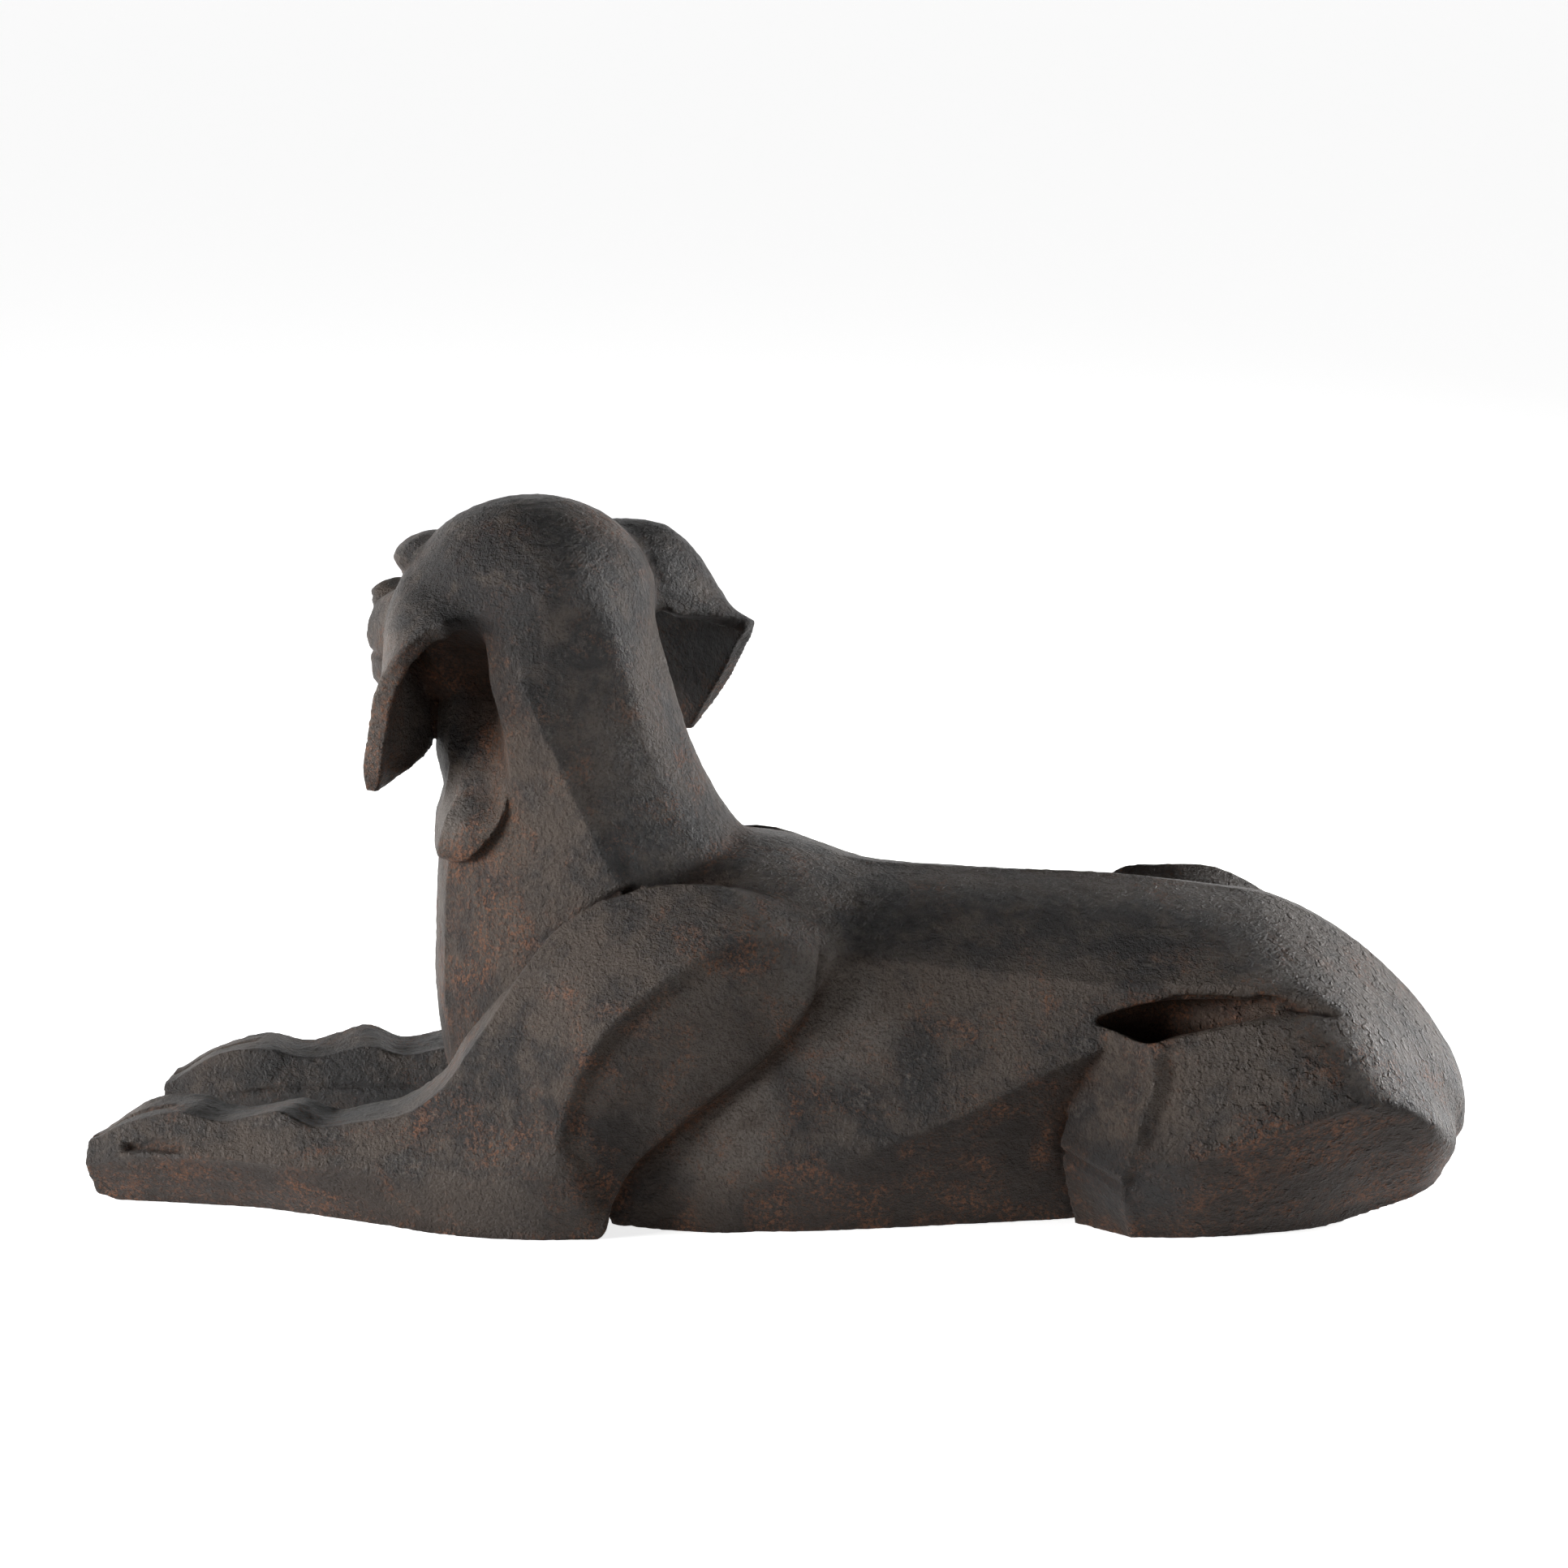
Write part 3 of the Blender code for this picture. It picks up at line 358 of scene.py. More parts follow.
# The face: creases that melt, then the lines of eyelid, mouth and nostril
FACE_BLENDS = [([(78, 8, 18), (76, 30, 16), (60, 52, 12)], 16), ([(80, 30, 0), (60, 54, -8)], 14),
               ([(78, 40, -30), (60, 56, -30), (20, 60, -40)], 18), ([(84, 0, 24), (100, 0, 14)], 16),
               ([(150, 0, 10), (166, 14, -6), (168, 0, -14)], 8),
               ([(84, 30, -40), (122, 34, -34), (160, 24, -34)], 12)]
FACE_GROOVES = [([(79, 20, 9), (78, 33, 6), (68, 47, 8)], 6, 3),
                ([(170, 2, -27), (160, 22, -30), (120, 34, -36), (88, 38, -40)], 6, 3.5),
                ([(176, 6, -1), (172, 13, 1), (165, 17, 4)], 5, 3)]

# Tail, from the rump round the right thigh: places and radii
TAIL = [(366, 14, 62), (376, 40, 44), (368, 76, 23), (342, 108, 15), (302, 134, 11), (256, 145, 8)]
TAIL_RADII = [18, 15, 13, 11, 9, 5]

# Right hind foot, from hock to toes: top, side, sole, inside and root
HIND_FOOT_TOP = [(330, 120, 34), (270, 128, 32), (210, 128, 34), (180, 127, 33), (160, 126, 22)]
HIND_FOOT_SIDE = [(334, 136, 16), (270, 144, 16), (210, 145, 16), (178, 143, 15), (158, 138, 10)]
HIND_FOOT_SOLE = [(334, 132, 0), (270, 138, 0), (210, 139, 0), (178, 138, 0), (158, 134, 2)]
HIND_FOOT_INSIDE = [(330, 90, 0), (270, 100, 0), (210, 108, 0), (178, 110, 0), (158, 114, 2)]
HIND_FOOT_ROOT = [(330, 90, 30), (270, 104, 28), (210, 108, 28), (178, 110, 27), (158, 114, 17)]


def rail_points(rail, corners=()):
    """Points along a smooth curve through the rail, which turns sharply at its corners."""
    knots = np.array(rail, dtype=float)
    last = len(knots) - 1
    arriving = np.zeros_like(knots)
    leaving = np.zeros_like(knots)
    for i in range(last + 1):
        before = knots[i] - knots[max(i - 1, 0)]
        after = knots[min(i + 1, last)] - knots[i]
        if i in (0, last) or i in corners:
            arriving[i] = before
            leaving[i] = after
        else:
            arriving[i] = leaving[i] = (before + after) / 2
    points = [knots[0]]
    for i in range(last):
        for k in range(1, RAIL_STEPS + 1):
            t = k / RAIL_STEPS
            points.append((2 * t ** 3 - 3 * t ** 2 + 1) * knots[i]
                          + (t ** 3 - 2 * t ** 2 + t) * leaving[i]
                          + (3 * t ** 2 - 2 * t ** 3) * knots[i + 1]
                          + (t ** 3 - t ** 2) * arriving[i + 1])
    return np.array(points)


def section(corners, swell):
    """A ring through the corner points, whose sides swell outwards by a share of their length."""
    centre = corners.mean(axis=0)
    ring = []
    for here, there in zip(corners, np.roll(corners, -1, axis=0)):
        side = there - here
        length = max(np.linalg.norm(side), TINY)
        out = (here + there) / 2 - centre
        out = out - side * (out @ side) / length ** 2
        out = out / max(np.linalg.norm(out), TINY)
        for k in range(SIDE_STEPS):
            t = k / SIDE_STEPS
            ring.append(here + side * t + out * swell * length * 4 * t * (1 - t))
    return ring


def add_rings(bm, rings):
    """A closed skin grown from the first ring through the others, point by point."""
    place = bm.verts.layers.int.get("place") or bm.verts.layers.int.new("place")
    loop = [bm.verts.new(Vector(point) * UNIT) for point in rings[0]]
    for k, vert in enumerate(loop):
        vert[place] = k
    edges = [bm.edges.new(pair) for pair in zip(loop, loop[1:] + loop[:1])]
    faces = bmesh.ops.contextual_create(bm, geom=edges)["faces"]
    for ring in rings[1:]:
        grown = bmesh.ops.extrude_edge_only(bm, edges=edges)["geom"]
        faces += [item for item in grown if isinstance(item, bmesh.types.BMFace)]
        edges = []
        for item in grown:
            if isinstance(item, bmesh.types.BMVert):
                item.co = Vector(ring[item[place]]) * UNIT
            elif isinstance(item, bmesh.types.BMEdge):
                edges.append(item)
        edges = [edge for edge in edges if all(vert in grown for vert in edge.verts)]
    faces += bmesh.ops.contextual_create(bm, geom=edges)["faces"]
    caps = bmesh.ops.poke(bm, faces=[faces[0], faces[-1]])["faces"]
    bmesh.ops.recalc_face_normals(bm, faces=faces[1:-1] + caps)


def add_shell(bm, rails, swell, corners=()):
    """A closed form whose carved edges are the rails."""
    lines = [rail_points(rail, corners) for rail in rails]
    add_rings(bm, [section(np.array(knots), swell) for knots in zip(*lines)])


def add_ear(bm, rear, front, bow, way, thickness, corners=()):
    """A hanging leaf between its rear and front edges, bowed out along the way."""
    out = np.array(way) / np.linalg.norm(way)
    lines = [rail_points(rail, corners) for rail in (rear, front, [(b,) for b in bow])]
    shares = np.linspace(0, 1, EAR_STRIPS + 1)[:, None]
    arch = 4 * shares * (1 - shares)
    leaf = np.array([near * (1 - shares) + far * shares + out * bulge * arch
                     for near, far, bulge in zip(*lines)])
    normals = np.cross(np.gradient(leaf, axis=0), np.gradient(leaf, axis=1))
    normals /= np.linalg.norm(normals, axis=2, keepdims=True)
    depth = thickness / 2 * (EAR_EDGE + EAR_MIDDLE * arch ** 0.5)
    tips = np.minimum(np.arange(len(leaf), 0, -1) / EAR_TIP_ROWS, 1) ** 0.5
    raised = depth * normals * tips[:, None, None]
    add_rings(bm, [np.concatenate((row + rise, (row - rise)[::-1]))
                   for row, rise in zip(leaf, raised)])


def add_lobe(bm, centre, radii, side=1):
    """An egg-shaped swelling on the head, on its left side (1) or its right (-1)."""
    shape = bmesh.ops.create_uvsphere(bm, u_segments=LOBE_SEGMENTS, v_segments=LOBE_RINGS,
                                      radius=1)
    ahead, across, upward = centre
    for vert in shape["verts"]:
        place = [c + r * v for c, r, v in zip((ahead, side * across, upward), radii, vert.co)]
        vert.co = head_point(place) * UNIT


def add_tail(bm):
    """A tapering tail round its path."""
    path = rail_points(TAIL)
    radii = rail_points([(radius,) for radius in TAIL_RADII])
    angles = [2 * math.pi * k / TAIL_SIDES for k in range(TAIL_SIDES)]
    rings = []
    for k, (centre, radius) in enumerate(zip(path, radii)):
        ahead = path[min(k + 1, len(path) - 1)] - path[max(k - 1, 0)]
        across = np.cross(ahead, (0, 0, 1))
        across = across / np.linalg.norm(across)
        upward = np.cross(across, ahead)
        upward = upward / np.linalg.norm(upward)
        rings.append([centre + radius * (across * math.cos(a) + upward * math.sin(a))
                      for a in angles])
    add_rings(bm, rings)


def head_point(place):
    """A place on the head, from the head's own axes to the hound's."""
    turn = Matrix.Rotation(FACE_TURN + math.pi / 2, 3, "Z") @ Matrix.Rotation(FACE_NOD, 3, "Y")
    return Vector(SKULL) + turn @ Vector(place)


def muzzle_section(ahead, half_width, top, bottom):
    """The corners of a section through the muzzle, as places on the head."""
    half = [(across * half_width, top - down * (top - bottom)) for across, down in MUZZLE_HALF]
    return [head_point((ahead, y, z)) for y, z in half + [(-y, z) for y, z in half[-2:0:-1]]]


def add_head(bm):
    """Skull and muzzle, with brows, closed eyes, cheeks, lips and nose."""
    add_lobe(bm, *SKULL_LOBE)
    add_shell(bm, list(zip(*[muzzle_section(*sizes) for sizes in MUZZLE])), swell=0.08)
    for side in (1, -1):
        for centre, radii in SIDE_LOBES:
            add_lobe(bm, centre, radii, side)
    add_lobe(bm, *NOSE_LOBE)


def temporary(fill):
    """A loose object with the mesh that the fill function makes."""
    bm = bmesh.new()
    fill(bm)
    mesh = bpy.data.meshes.new("Shell")
    bm.to_mesh(mesh)
    bm.free()
    shell = bpy.data.objects.new("Shell", mesh)
    bpy.context.scene.collection.objects.link(shell)
    return shell


def finished_mesh(shape):
    """The mesh that the object's modifiers make of it."""
    graph = bpy.context.evaluated_depsgraph_get()
    return bpy.data.meshes.new_from_object(shape.evaluated_get(graph))


def fill_trunk(bm):
    """The trunk, from the shoulders to the rump."""
    left = [SPINE, RIM, FLANK, BELLY, KEEL]
    add_shell(bm, left + [mirrored(rail) for rail in left[:0:-1]], swell=0.02)


def fill_thigh(bm):
    """The left thigh, whose edges turn sharply at the knee facet."""
    add_shell(bm, [THIGH_LIP, THIGH_SIDE, THIGH_FOLD, THIGH_FOOT, THIGH_SOLE, THIGH_ROOT],
              swell=0.03, corners=(THIGH_CORNER,))


def fill_recess(bm):
    """What is cut away over the left thigh, and some of the air beside it."""
    beyond = [(x, y - RECESS_OUT, z) for x, y, z in RECESS_LIP]
    below = [(x, y - RECESS_OUT, z - RECESS_DOWN) for x, y, z in RECESS_EDGE]
    add_shell(bm, [RECESS_LIP, RECESS_WALL, RECESS_FLOOR, RECESS_EDGE, below, beyond], swell=0)


def fill_rest(bm):
    """Everything that the recess doesn't cut."""
    left = [BREAST, BREAST_EDGE, THROAT, NECK_RIDGE, SCRUFF, NAPE]
    add_shell(bm, left + [mirrored(rail) for rail in left[-2:0:-1]], swell=0.04)
    foreleg = [FORELEG_TOP, FORELEG_RIDGE, FORELEG_FOOT, FORELEG_SOLE, FORELEG_INSIDE,
               FORELEG_INNER_TOP]
    add_shell(bm, foreleg, swell=0.03)
    add_shell(bm, [mirrored(rail, FORELEG_LAG) for rail in foreleg], swell=0.03)
    add_shell(bm, [KNEE_CREST, KNEE_SIDE, KNEE_FOLD, KNEE_FOOT, KNEE_SOLE, KNEE_ROOT], swell=0.04)
    add_shell(bm, [HIND_FOOT_TOP, HIND_FOOT_SIDE, HIND_FOOT_SOLE, HIND_FOOT_INSIDE,
                   HIND_FOOT_ROOT], swell=0.05)
    add_tail(bm)
    add_head(bm)
    add_ear(bm, LEFT_EAR_REAR, LEFT_EAR_FRONT, LEFT_EAR_BOW, LEFT_EAR_WAY, LEFT_EAR_THICKNESS)
    add_ear(bm, RIGHT_EAR_REAR, RIGHT_EAR_FRONT, RIGHT_EAR_BOW, RIGHT_EAR_WAY,
            RIGHT_EAR_THICKNESS, (RIGHT_EAR_CORNER,))
    left = [DEWLAP_FRONT, DEWLAP_SIDE, DEWLAP_EDGE, DEWLAP_BACK]
    add_shell(bm, left + [mirrored(rail) for rail in left[:0:-1]], swell=0.04)


def distances(points, path, reach):
    """Points within reach of the path: which they are, how far off, and their place along it."""
    low = path.min(axis=0) - reach
    high = path.max(axis=0) + reach
    near = np.flatnonzero(((points > low) & (points < high)).all(axis=1))
    best = np.full(len(near), np.inf)
    place = np.zeros(len(near))
    for k, (start, end) in enumerate(zip(path, path[1:])):
        along = end - start
        t = np.clip((points[near] - start) @ along / (along @ along), 0, 1)
        away = np.linalg.norm(points[near] - start - t[:, None] * along, axis=1)
        closer = away < best
        best[closer] = away[closer]
        place[closer] = (k + t[closer]) / (len(path) - 1)
    return near, best, place


def laid_on(points, path, reach):
    """The smooth path moved onto the surface, each place to the nearest point within reach."""
    path = rail_points(path)
    near = points[((points > path.min(axis=0) - reach)
                   & (points < path.max(axis=0) + reach)).all(axis=1)]
    laid = np.array([near[((near - place) ** 2).sum(axis=1).argmin()] for place in path])
    laid = laid[np.append(True, np.abs(np.diff(laid, axis=0)).max(axis=1) > 0)]
    for _ in range(LAYING_ROUNDS):
        laid[1:-1] = (laid[:-2] + 2 * laid[1:-1] + laid[2:]) / 4
    return laid


def fade(place):
    """How much of its depth a groove has at a place along its path: none at the two ends."""
    return np.clip(np.minimum(place, 1 - place) / FADE, 0, 1)


def carve(points, normals, path, width, depth):
    """Press a V-shaped groove into the surface along the path."""
    near, off, place = distances(points, laid_on(points, path, width), width)
    press = depth * fade(place) * np.clip(1 - 2 * off / width, 0, 1)
    points[near] -= normals[near] * press[:, None]


def scoop(points, side):
    """Press a round hollow into the surface, beside the left ear (1) or the right (-1)."""
    mirror = np.array((1, side, 1))
    near, off, place = distances(points, rail_points(SCOOP) * mirror, SCOOP_RADIUS)
    depth = np.interp(place, np.linspace(0, 1, len(SCOOP_DEPTHS)), SCOOP_DEPTHS)
    press = depth * fade(place) * np.clip(1 - (off / SCOOP_RADIUS) ** 2, 0, 1)
    points[near] += SCOOP_WAY * mirror * press[:, None]


def soften(points, edges, weights, rounds):
    """Smooth the surface where the weights say."""
    count = np.bincount(edges.ravel(), minlength=len(points))[:, None]
    for _ in range(rounds):
        total = np.stack([np.bincount(edges[:, 0], points[edges[:, 1], k], len(points))
                          + np.bincount(edges[:, 1], points[edges[:, 0], k], len(points))
                          for k in range(3)], axis=1)
        points += weights[:, None] * ROUND_SHARE * (total / count - points)


def sharpen(points, edges, mesh_size):
    """Make the planes meet crisply, with higher edges and deeper folds, but not at the recess."""
    level = points.copy()
    soften(level, edges, np.ones(len(level)), round((EDGE_REACH / mesh_size) ** 2))
    near, off, _ = distances(points, rail_points(RECESS_LIP), EDGE_REACH)
    crisp = np.full(len(points), EDGE_SHARE)
    crisp[near] *= off / EDGE_REACH
    points += np.clip(crisp[:, None] * (points - level), -EDGE_RISE, EDGE_RISE)


def read_mesh(mesh):
    """The mesh's vertices in metres, and the pairs of them that its edges join."""
    points = np.empty(3 * len(mesh.vertices), dtype=np.float32)
    mesh.vertices.foreach_get("co", points)
    edges = np.empty(2 * len(mesh.edges), dtype=np.int32)
    mesh.edges.foreach_get("vertices", edges)
    return points.reshape(-1, 3).astype(float), edges.reshape(-1, 2)


def move_vertices(mesh, points):
    """Put the mesh's vertices at the points, in metres, and return its new normals."""
    mesh.vertices.foreach_set("co", points.ravel())
    mesh.update()
    normals = np.empty(3 * len(points), dtype=np.float32)
    mesh.vertex_normals.foreach_get("vector", normals)
    return normals.reshape(-1, 3).astype(float)


def face_lines():
    """The blends and the grooves of the face, on both of its sides."""
    def both(lines):
        return [([head_point((x, side * y, z)) for x, y, z in path], *sizes)
                for path, *sizes in lines for side in (1, -1)]
    return both(FACE_BLENDS), both(FACE_GROOVES)


def carve_surface(mesh, mesh_size):
    """Blend the fused forms, make their planes crisp, and press the scoops and grooves in."""
    points, edges = read_mesh(mesh)
    points /= UNIT
    weights = np.zeros(len(points))
    face_blends, face_grooves = face_lines()
    blends = [(line, reach) for path, reach in BLENDS for line in (path, mirrored(path))]
    for line, reach in blends + face_blends:
        near, off, _ = distances(points, rail_points(line), reach)
        weight = np.clip(BLEND_SLOPE - BLEND_SLOPE * off / reach, 0, 1)
        weights[near] = np.maximum(weights[near], weight)
    soften(points, edges, weights, round(MELT_ROUNDS * (MELT_MESH / mesh_size) ** 2))
    sharpen(points, edges, mesh_size)
    for side in (1, -1):
        scoop(points, side)
    grooves = [(line, width, depth) for path, width, depth in LIMB_GROOVES
               for line in (path, mirrored(path, FORELEG_LAG))]
    for line, width, depth in grooves + [LIP_GROOVE] + face_grooves + CHISEL_LINES:
        carve(points, move_vertices(mesh, points * UNIT), line, width, depth)
    soften(points, edges, np.ones(len(points)), SKIN_ROUNDS)
    points[:, 2] = np.maximum(points[:, 2], 0)
    move_vertices(mesh, points * UNIT)


def joined_forms():
    """All the overlapping forms in one mesh, with the recess cut into trunk and thigh."""
    recess, trunk, thigh, rest = [temporary(fill) for fill in
                                  (fill_recess, fill_trunk, fill_thigh, fill_rest)]
    for shell in (trunk, thigh):
        cut = shell.modifiers.new("Recess", "BOOLEAN")
        cut.operation = "DIFFERENCE"
        cut.object = recess
        cut.use_self = True
    joined = bmesh.new()
    for shell in (trunk, thigh, rest):
        joined.from_mesh(finished_mesh(shell))
    mesh = bpy.data.meshes.new("Hound")
    joined.to_mesh(mesh)
    joined.free()
    for old in (recess, trunk, thigh, rest):
        bpy.data.objects.remove(old, do_unlink=True)
    return mesh


def keep_largest_shell(mesh):
    """Delete the specks that fusing the forms leaves inside, where small hollows close up."""
    bm = bmesh.new()
    bm.from_mesh(mesh)
    unseen = set(bm.verts)
    shells = []
    while unseen:
        shell = [unseen.pop()]
        for vert in shell:
            for edge in vert.link_edges:
                other = edge.other_vert(vert)
                if other in unseen:
                    unseen.remove(other)
                    shell.append(other)
        shells.append(shell)
    shells.sort(key=len)
    for speck in shells[:-1]:
        bmesh.ops.delete(bm, geom=speck, context="VERTS")
    bm.to_mesh(mesh)
    bm.free()


def fit_to_box(mesh, box):
    """Keep the skin inside the solid's box, and note where it is hollow, deep or faces down."""
    points, edges = read_mesh(mesh)
    points = np.clip(points, np.array(box[0]), np.array(box[1]))
    normals = move_vertices(mesh, points)
    everywhere = np.ones(len(points))
    level = points.copy()
    soften(level, edges, everywhere, NEAR_ROUNDS)
    note(mesh, "hollow", ((level - points) * normals).sum(axis=1) / HOLLOW_DEPTH)
    soften(level, edges, everywhere, WIDE_ROUNDS)
    note(mesh, "deep", ((level - points) * normals).sum(axis=1) / DEEP_DEPTH)
    soften(normals, edges, everywhere, NEAR_ROUNDS)
    note(mesh, "under", UNDER_UPRIGHT - UNDER_SLOPE * normals[:, 2])


def note(mesh, name, values):
    """Keep a number from 0 to 1 for each vertex, as an attribute that the patina reads."""
    attribute = mesh.attributes.new(name, "FLOAT", "POINT")
    attribute.data.foreach_set("value", np.clip(values, 0, 1).astype(np.float32))


class HoundCastingSettings(bpy.types.PropertyGroup):
    """Sizes of the casting's skin."""

    mesh_size: bpy.props.FloatProperty(
        name="Mesh size", description="Side of the cells that fuse the carved forms",
        default=0.0014, min=0.001, max=0.01, precision=4, unit="LENGTH")
    triangles: bpy.props.IntProperty(
        name="Triangles", description="Triangles left in the finished skin",
        default=192000, min=5000, max=199000)
    grain_depth: bpy.props.FloatProperty(
        name="Grain depth", description="Height of the pebbled grain that the mould left",
        default=0.0004, min=0.0, max=0.003, precision=4, unit="LENGTH")
    dimple_depth: bpy.props.FloatProperty(
        name="Dimple depth", description="Height of the slow unevenness under the grain",
        default=0.0003, min=0.0, max=0.005, precision=4, unit="LENGTH")


def colour_setting(name, description, default):
    """A colour that a user may change."""
    return bpy.props.FloatVectorProperty(name=name, description=description, default=default,
                                         subtype="COLOR", size=3, min=0.0, max=1.0)


class HoundPatinaSettings(bpy.types.PropertyGroup):
    """Colours, dullness and relief of the patina."""

    metal: colour_setting("Metal", "Grey-brown of the waxed metal", (0.053, 0.041, 0.033))
    # The near black is also the painted shade of the black patches
    dark: colour_setting("Dark", "Near black of the deeper patina", (0.013, 0.012, 0.012))
    # The dark brown is also painted shade, in folds and deep places and on what faces down
    brown: colour_setting("Brown", "Dark brown of pits, folds and what faces down",
                          (0.014, 0.008, 0.005))
    # The paler grey is both the colour of worn places and the painted light of the pale patches
    wear_and_light: colour_setting("Worn", "Paler grey of the rubbed places", (0.109, 0.093, 0.081))
    rust: colour_setting("Rust", "Rusty brown of the specks and hollows", (0.135, 0.055, 0.026))
    pale: colour_setting("Pale", "Bare grey of the few pale specks", (0.20, 0.19, 0.18))
    roughness: bpy.props.FloatProperty(
        name="Roughness", description="Dullness of the skin", default=0.46, min=0.1, max=1.0,
        subtype="FACTOR")
    relief: bpy.props.FloatProperty(
        name="Relief", description="Height of the finest grain", default=0.0026, min=0.0,
        max=0.005, precision=4, unit="LENGTH")
    ior: bpy.props.FloatProperty(
        name="Sheen", description="Index of refraction of the wax", default=1.27, min=1.0,
        max=2.0)


class HoundStageSettings(bpy.types.PropertyGroup):
    """The studio: floor, light and camera."""

    floor: colour_setting("Floor", "Colour of the floor", (0.90, 0.90, 0.90))
    back: bpy.props.FloatProperty(
        name="Back wall", description="Brightness of the wall behind the hound", default=1.95,
        min=0.0)
    front: bpy.props.FloatProperty(
        name="Front wall", description="Brightness of the wall behind the camera", default=0.37,
        min=0.0)
    ceiling: bpy.props.FloatProperty(
        name="Ceiling", description="Share of the walls' brightness overhead", default=0.03,
        min=0.0)
    floor_glow: bpy.props.FloatProperty(
        name="Floor glow", description="Light that the white floor gives off", default=0.79,
        min=0.0)
    side_light: bpy.props.FloatProperty(
        name="Side light", description="Power of the soft lamp at the hound's left front",
        default=215.0, min=0.0, unit="POWER")
    rim_light: bpy.props.FloatProperty(
        name="Rim light", description="Power of the soft lamp behind the hound's rump",
        default=150.0, min=0.0, unit="POWER")
    azimuth: bpy.props.FloatProperty(
        name="Azimuth", description="Camera's turn round the hound", default=math.radians(5),
        subtype="ANGLE")
    elevation: bpy.props.FloatProperty(
        name="Elevation", description="Camera's height above the horizon",
        default=math.radians(12), subtype="ANGLE")
    distance: bpy.props.FloatProperty(
        name="Distance", description="Camera's distance from its aim", default=2.6, min=0.5,
        unit="LENGTH")
    aim_height: bpy.props.FloatProperty(
        name="Aim height", description="Height of the point that the camera looks at",
        default=0.2408, unit="LENGTH")
    lens: bpy.props.FloatProperty(
        name="Lens", description="Focal length on a 36 mm sensor, in millimetres",
        default=102.33, min=10.0, max=400.0)


class Board:
    """The node board of a material or world, with short ways to put nodes on it and wire them."""

    def __init__(self, owner):
        owner.use_nodes = True
        self.nodes = owner.node_tree.nodes
        self.links = owner.node_tree.links
        self.coordinates = self.nodes.new("ShaderNodeTexCoord").outputs

    def put(self, kind, wires, **settings):
        """A new node with its settings, and its inputs set to values or wired to outputs."""
        node = self.nodes.new(kind)
        for name, value in settings.items():
            setattr(node, name, value)
        for socket, value in wires.items():
            self.wire(value, node.inputs[socket])
        return node

    def wire(self, value, socket):
        """Set an input to a value, or link it to an output."""
        if isinstance(value, bpy.types.NodeSocket):
            self.links.new(value, socket)
        else:
            socket.default_value = value

    def noise(self, scale, detail, roughness, distortion=0.0):
        """Cloudy noise over the piece, from 0 to 1."""
        wires = {"Vector": self.coordinates["Object"], "Scale": scale, "Detail": detail,
                 "Roughness": roughness, "Distortion": distortion}
        return self.put("ShaderNodeTexNoise", wires).outputs["Fac"]

    def math(self, operation, first, second):
        """Two values put together by an operation."""
        return self.put("ShaderNodeMath", {0: first, 1: second}, operation=operation).outputs[0]

    def times(self, first, second):
        """One value times another."""
        return self.math("MULTIPLY", first, second)

    def rest(self, value, share=1.0):
        """What is left of 1 without a share of the value."""
        return self.math("SUBTRACT", 1.0, self.times(value, share))

    def add(self, first, second, share):
        """A value with a share of another on top."""
        return self.math("ADD", first, self.times(second, share))

    def blend(self, first, second, shares):
        """Two values added in their shares."""
        return self.add(self.times(first, shares[0]), second, shares[1])

    def step(self, value, marks):
        """A value taken to 0 at the first mark and to 1 at the second one."""
        wires = {"Value": value, "From Min": marks[0], "From Max": marks[1]}
        node = self.put("ShaderNodeMapRange", wires, interpolation_type="SMOOTHSTEP")
        return node.outputs["Result"]

    def vectors(self, operation, *inputs):
        """The outputs of a node that puts vectors together by an operation."""
        wires = dict(enumerate(inputs))
        return self.put("ShaderNodeVectorMath", wires, operation=operation).outputs

    def patches(self, places):
        """1 in the middle of egg-shaped regions of the piece, and 0 outside them."""
        most = 0.0
        for centre, radii in places:
            away = self.vectors("SUBTRACT", self.coordinates["Object"], centre)[0]
            away = self.vectors("DIVIDE", away, radii)[0]
            away = self.vectors("LENGTH", away)["Value"]
            most = self.math("MAXIMUM", most, self.step(away, PATCH_MARKS))
        return most

    def mix(self, factor, first, second):
        """Two colours mixed by a factor."""
        node = self.put("ShaderNodeMix", {}, data_type="RGBA")
        self.wire(factor, node.inputs[0])
        self.wire(first, node.inputs[6])
        self.wire(second, node.inputs[7])
        return node.outputs[2]


# Clouds of the patina: how many fit into a metre, how many layers of finer ones they carry, how
# strong each layer is, and how far they swirl
BLOTCHES = (9.0, 5.0, 0.62, 0.4)
RUST_CLOUDS = (24.0, 6.0, 0.70, 0.5)
CLOUDS = (42.0, 6.0, 0.72)
NODULES = (190.0, 2.0, 0.5)
PEBBLES = (240.0, 2.0, 0.6)
SPECKS = (420.0, 6.0, 0.80)
GRIT = (650.0, 3.0, 0.60)

# Marks between which a layer of the patina and of its painted shade and light goes from none to full.
# The nodules' region is along X, in metres, towards the rump
DARK_MARKS = (0.44, 0.58)
WORN_MARKS = (0.52, 0.64)
LIGHT_MARKS = (0.34, 0.50)
BLACK_MARKS = (0.30, 0.56)
RUST_MARKS = (0.49, 0.69)
DUST_MARKS = (0.49, 0.55)
SHADE_MARKS = (0.3, 1.0)
SOUND_MARKS = (0.36, 0.50)
BARE_MARKS = (0.76, 0.81)
BARE_REGION = (0.50, 0.62)
NODULE_MARKS = (0.56, 0.68)
NODULE_REGION = (0.12, 0.34)
PEBBLE_MARKS = (0.44, 0.60)

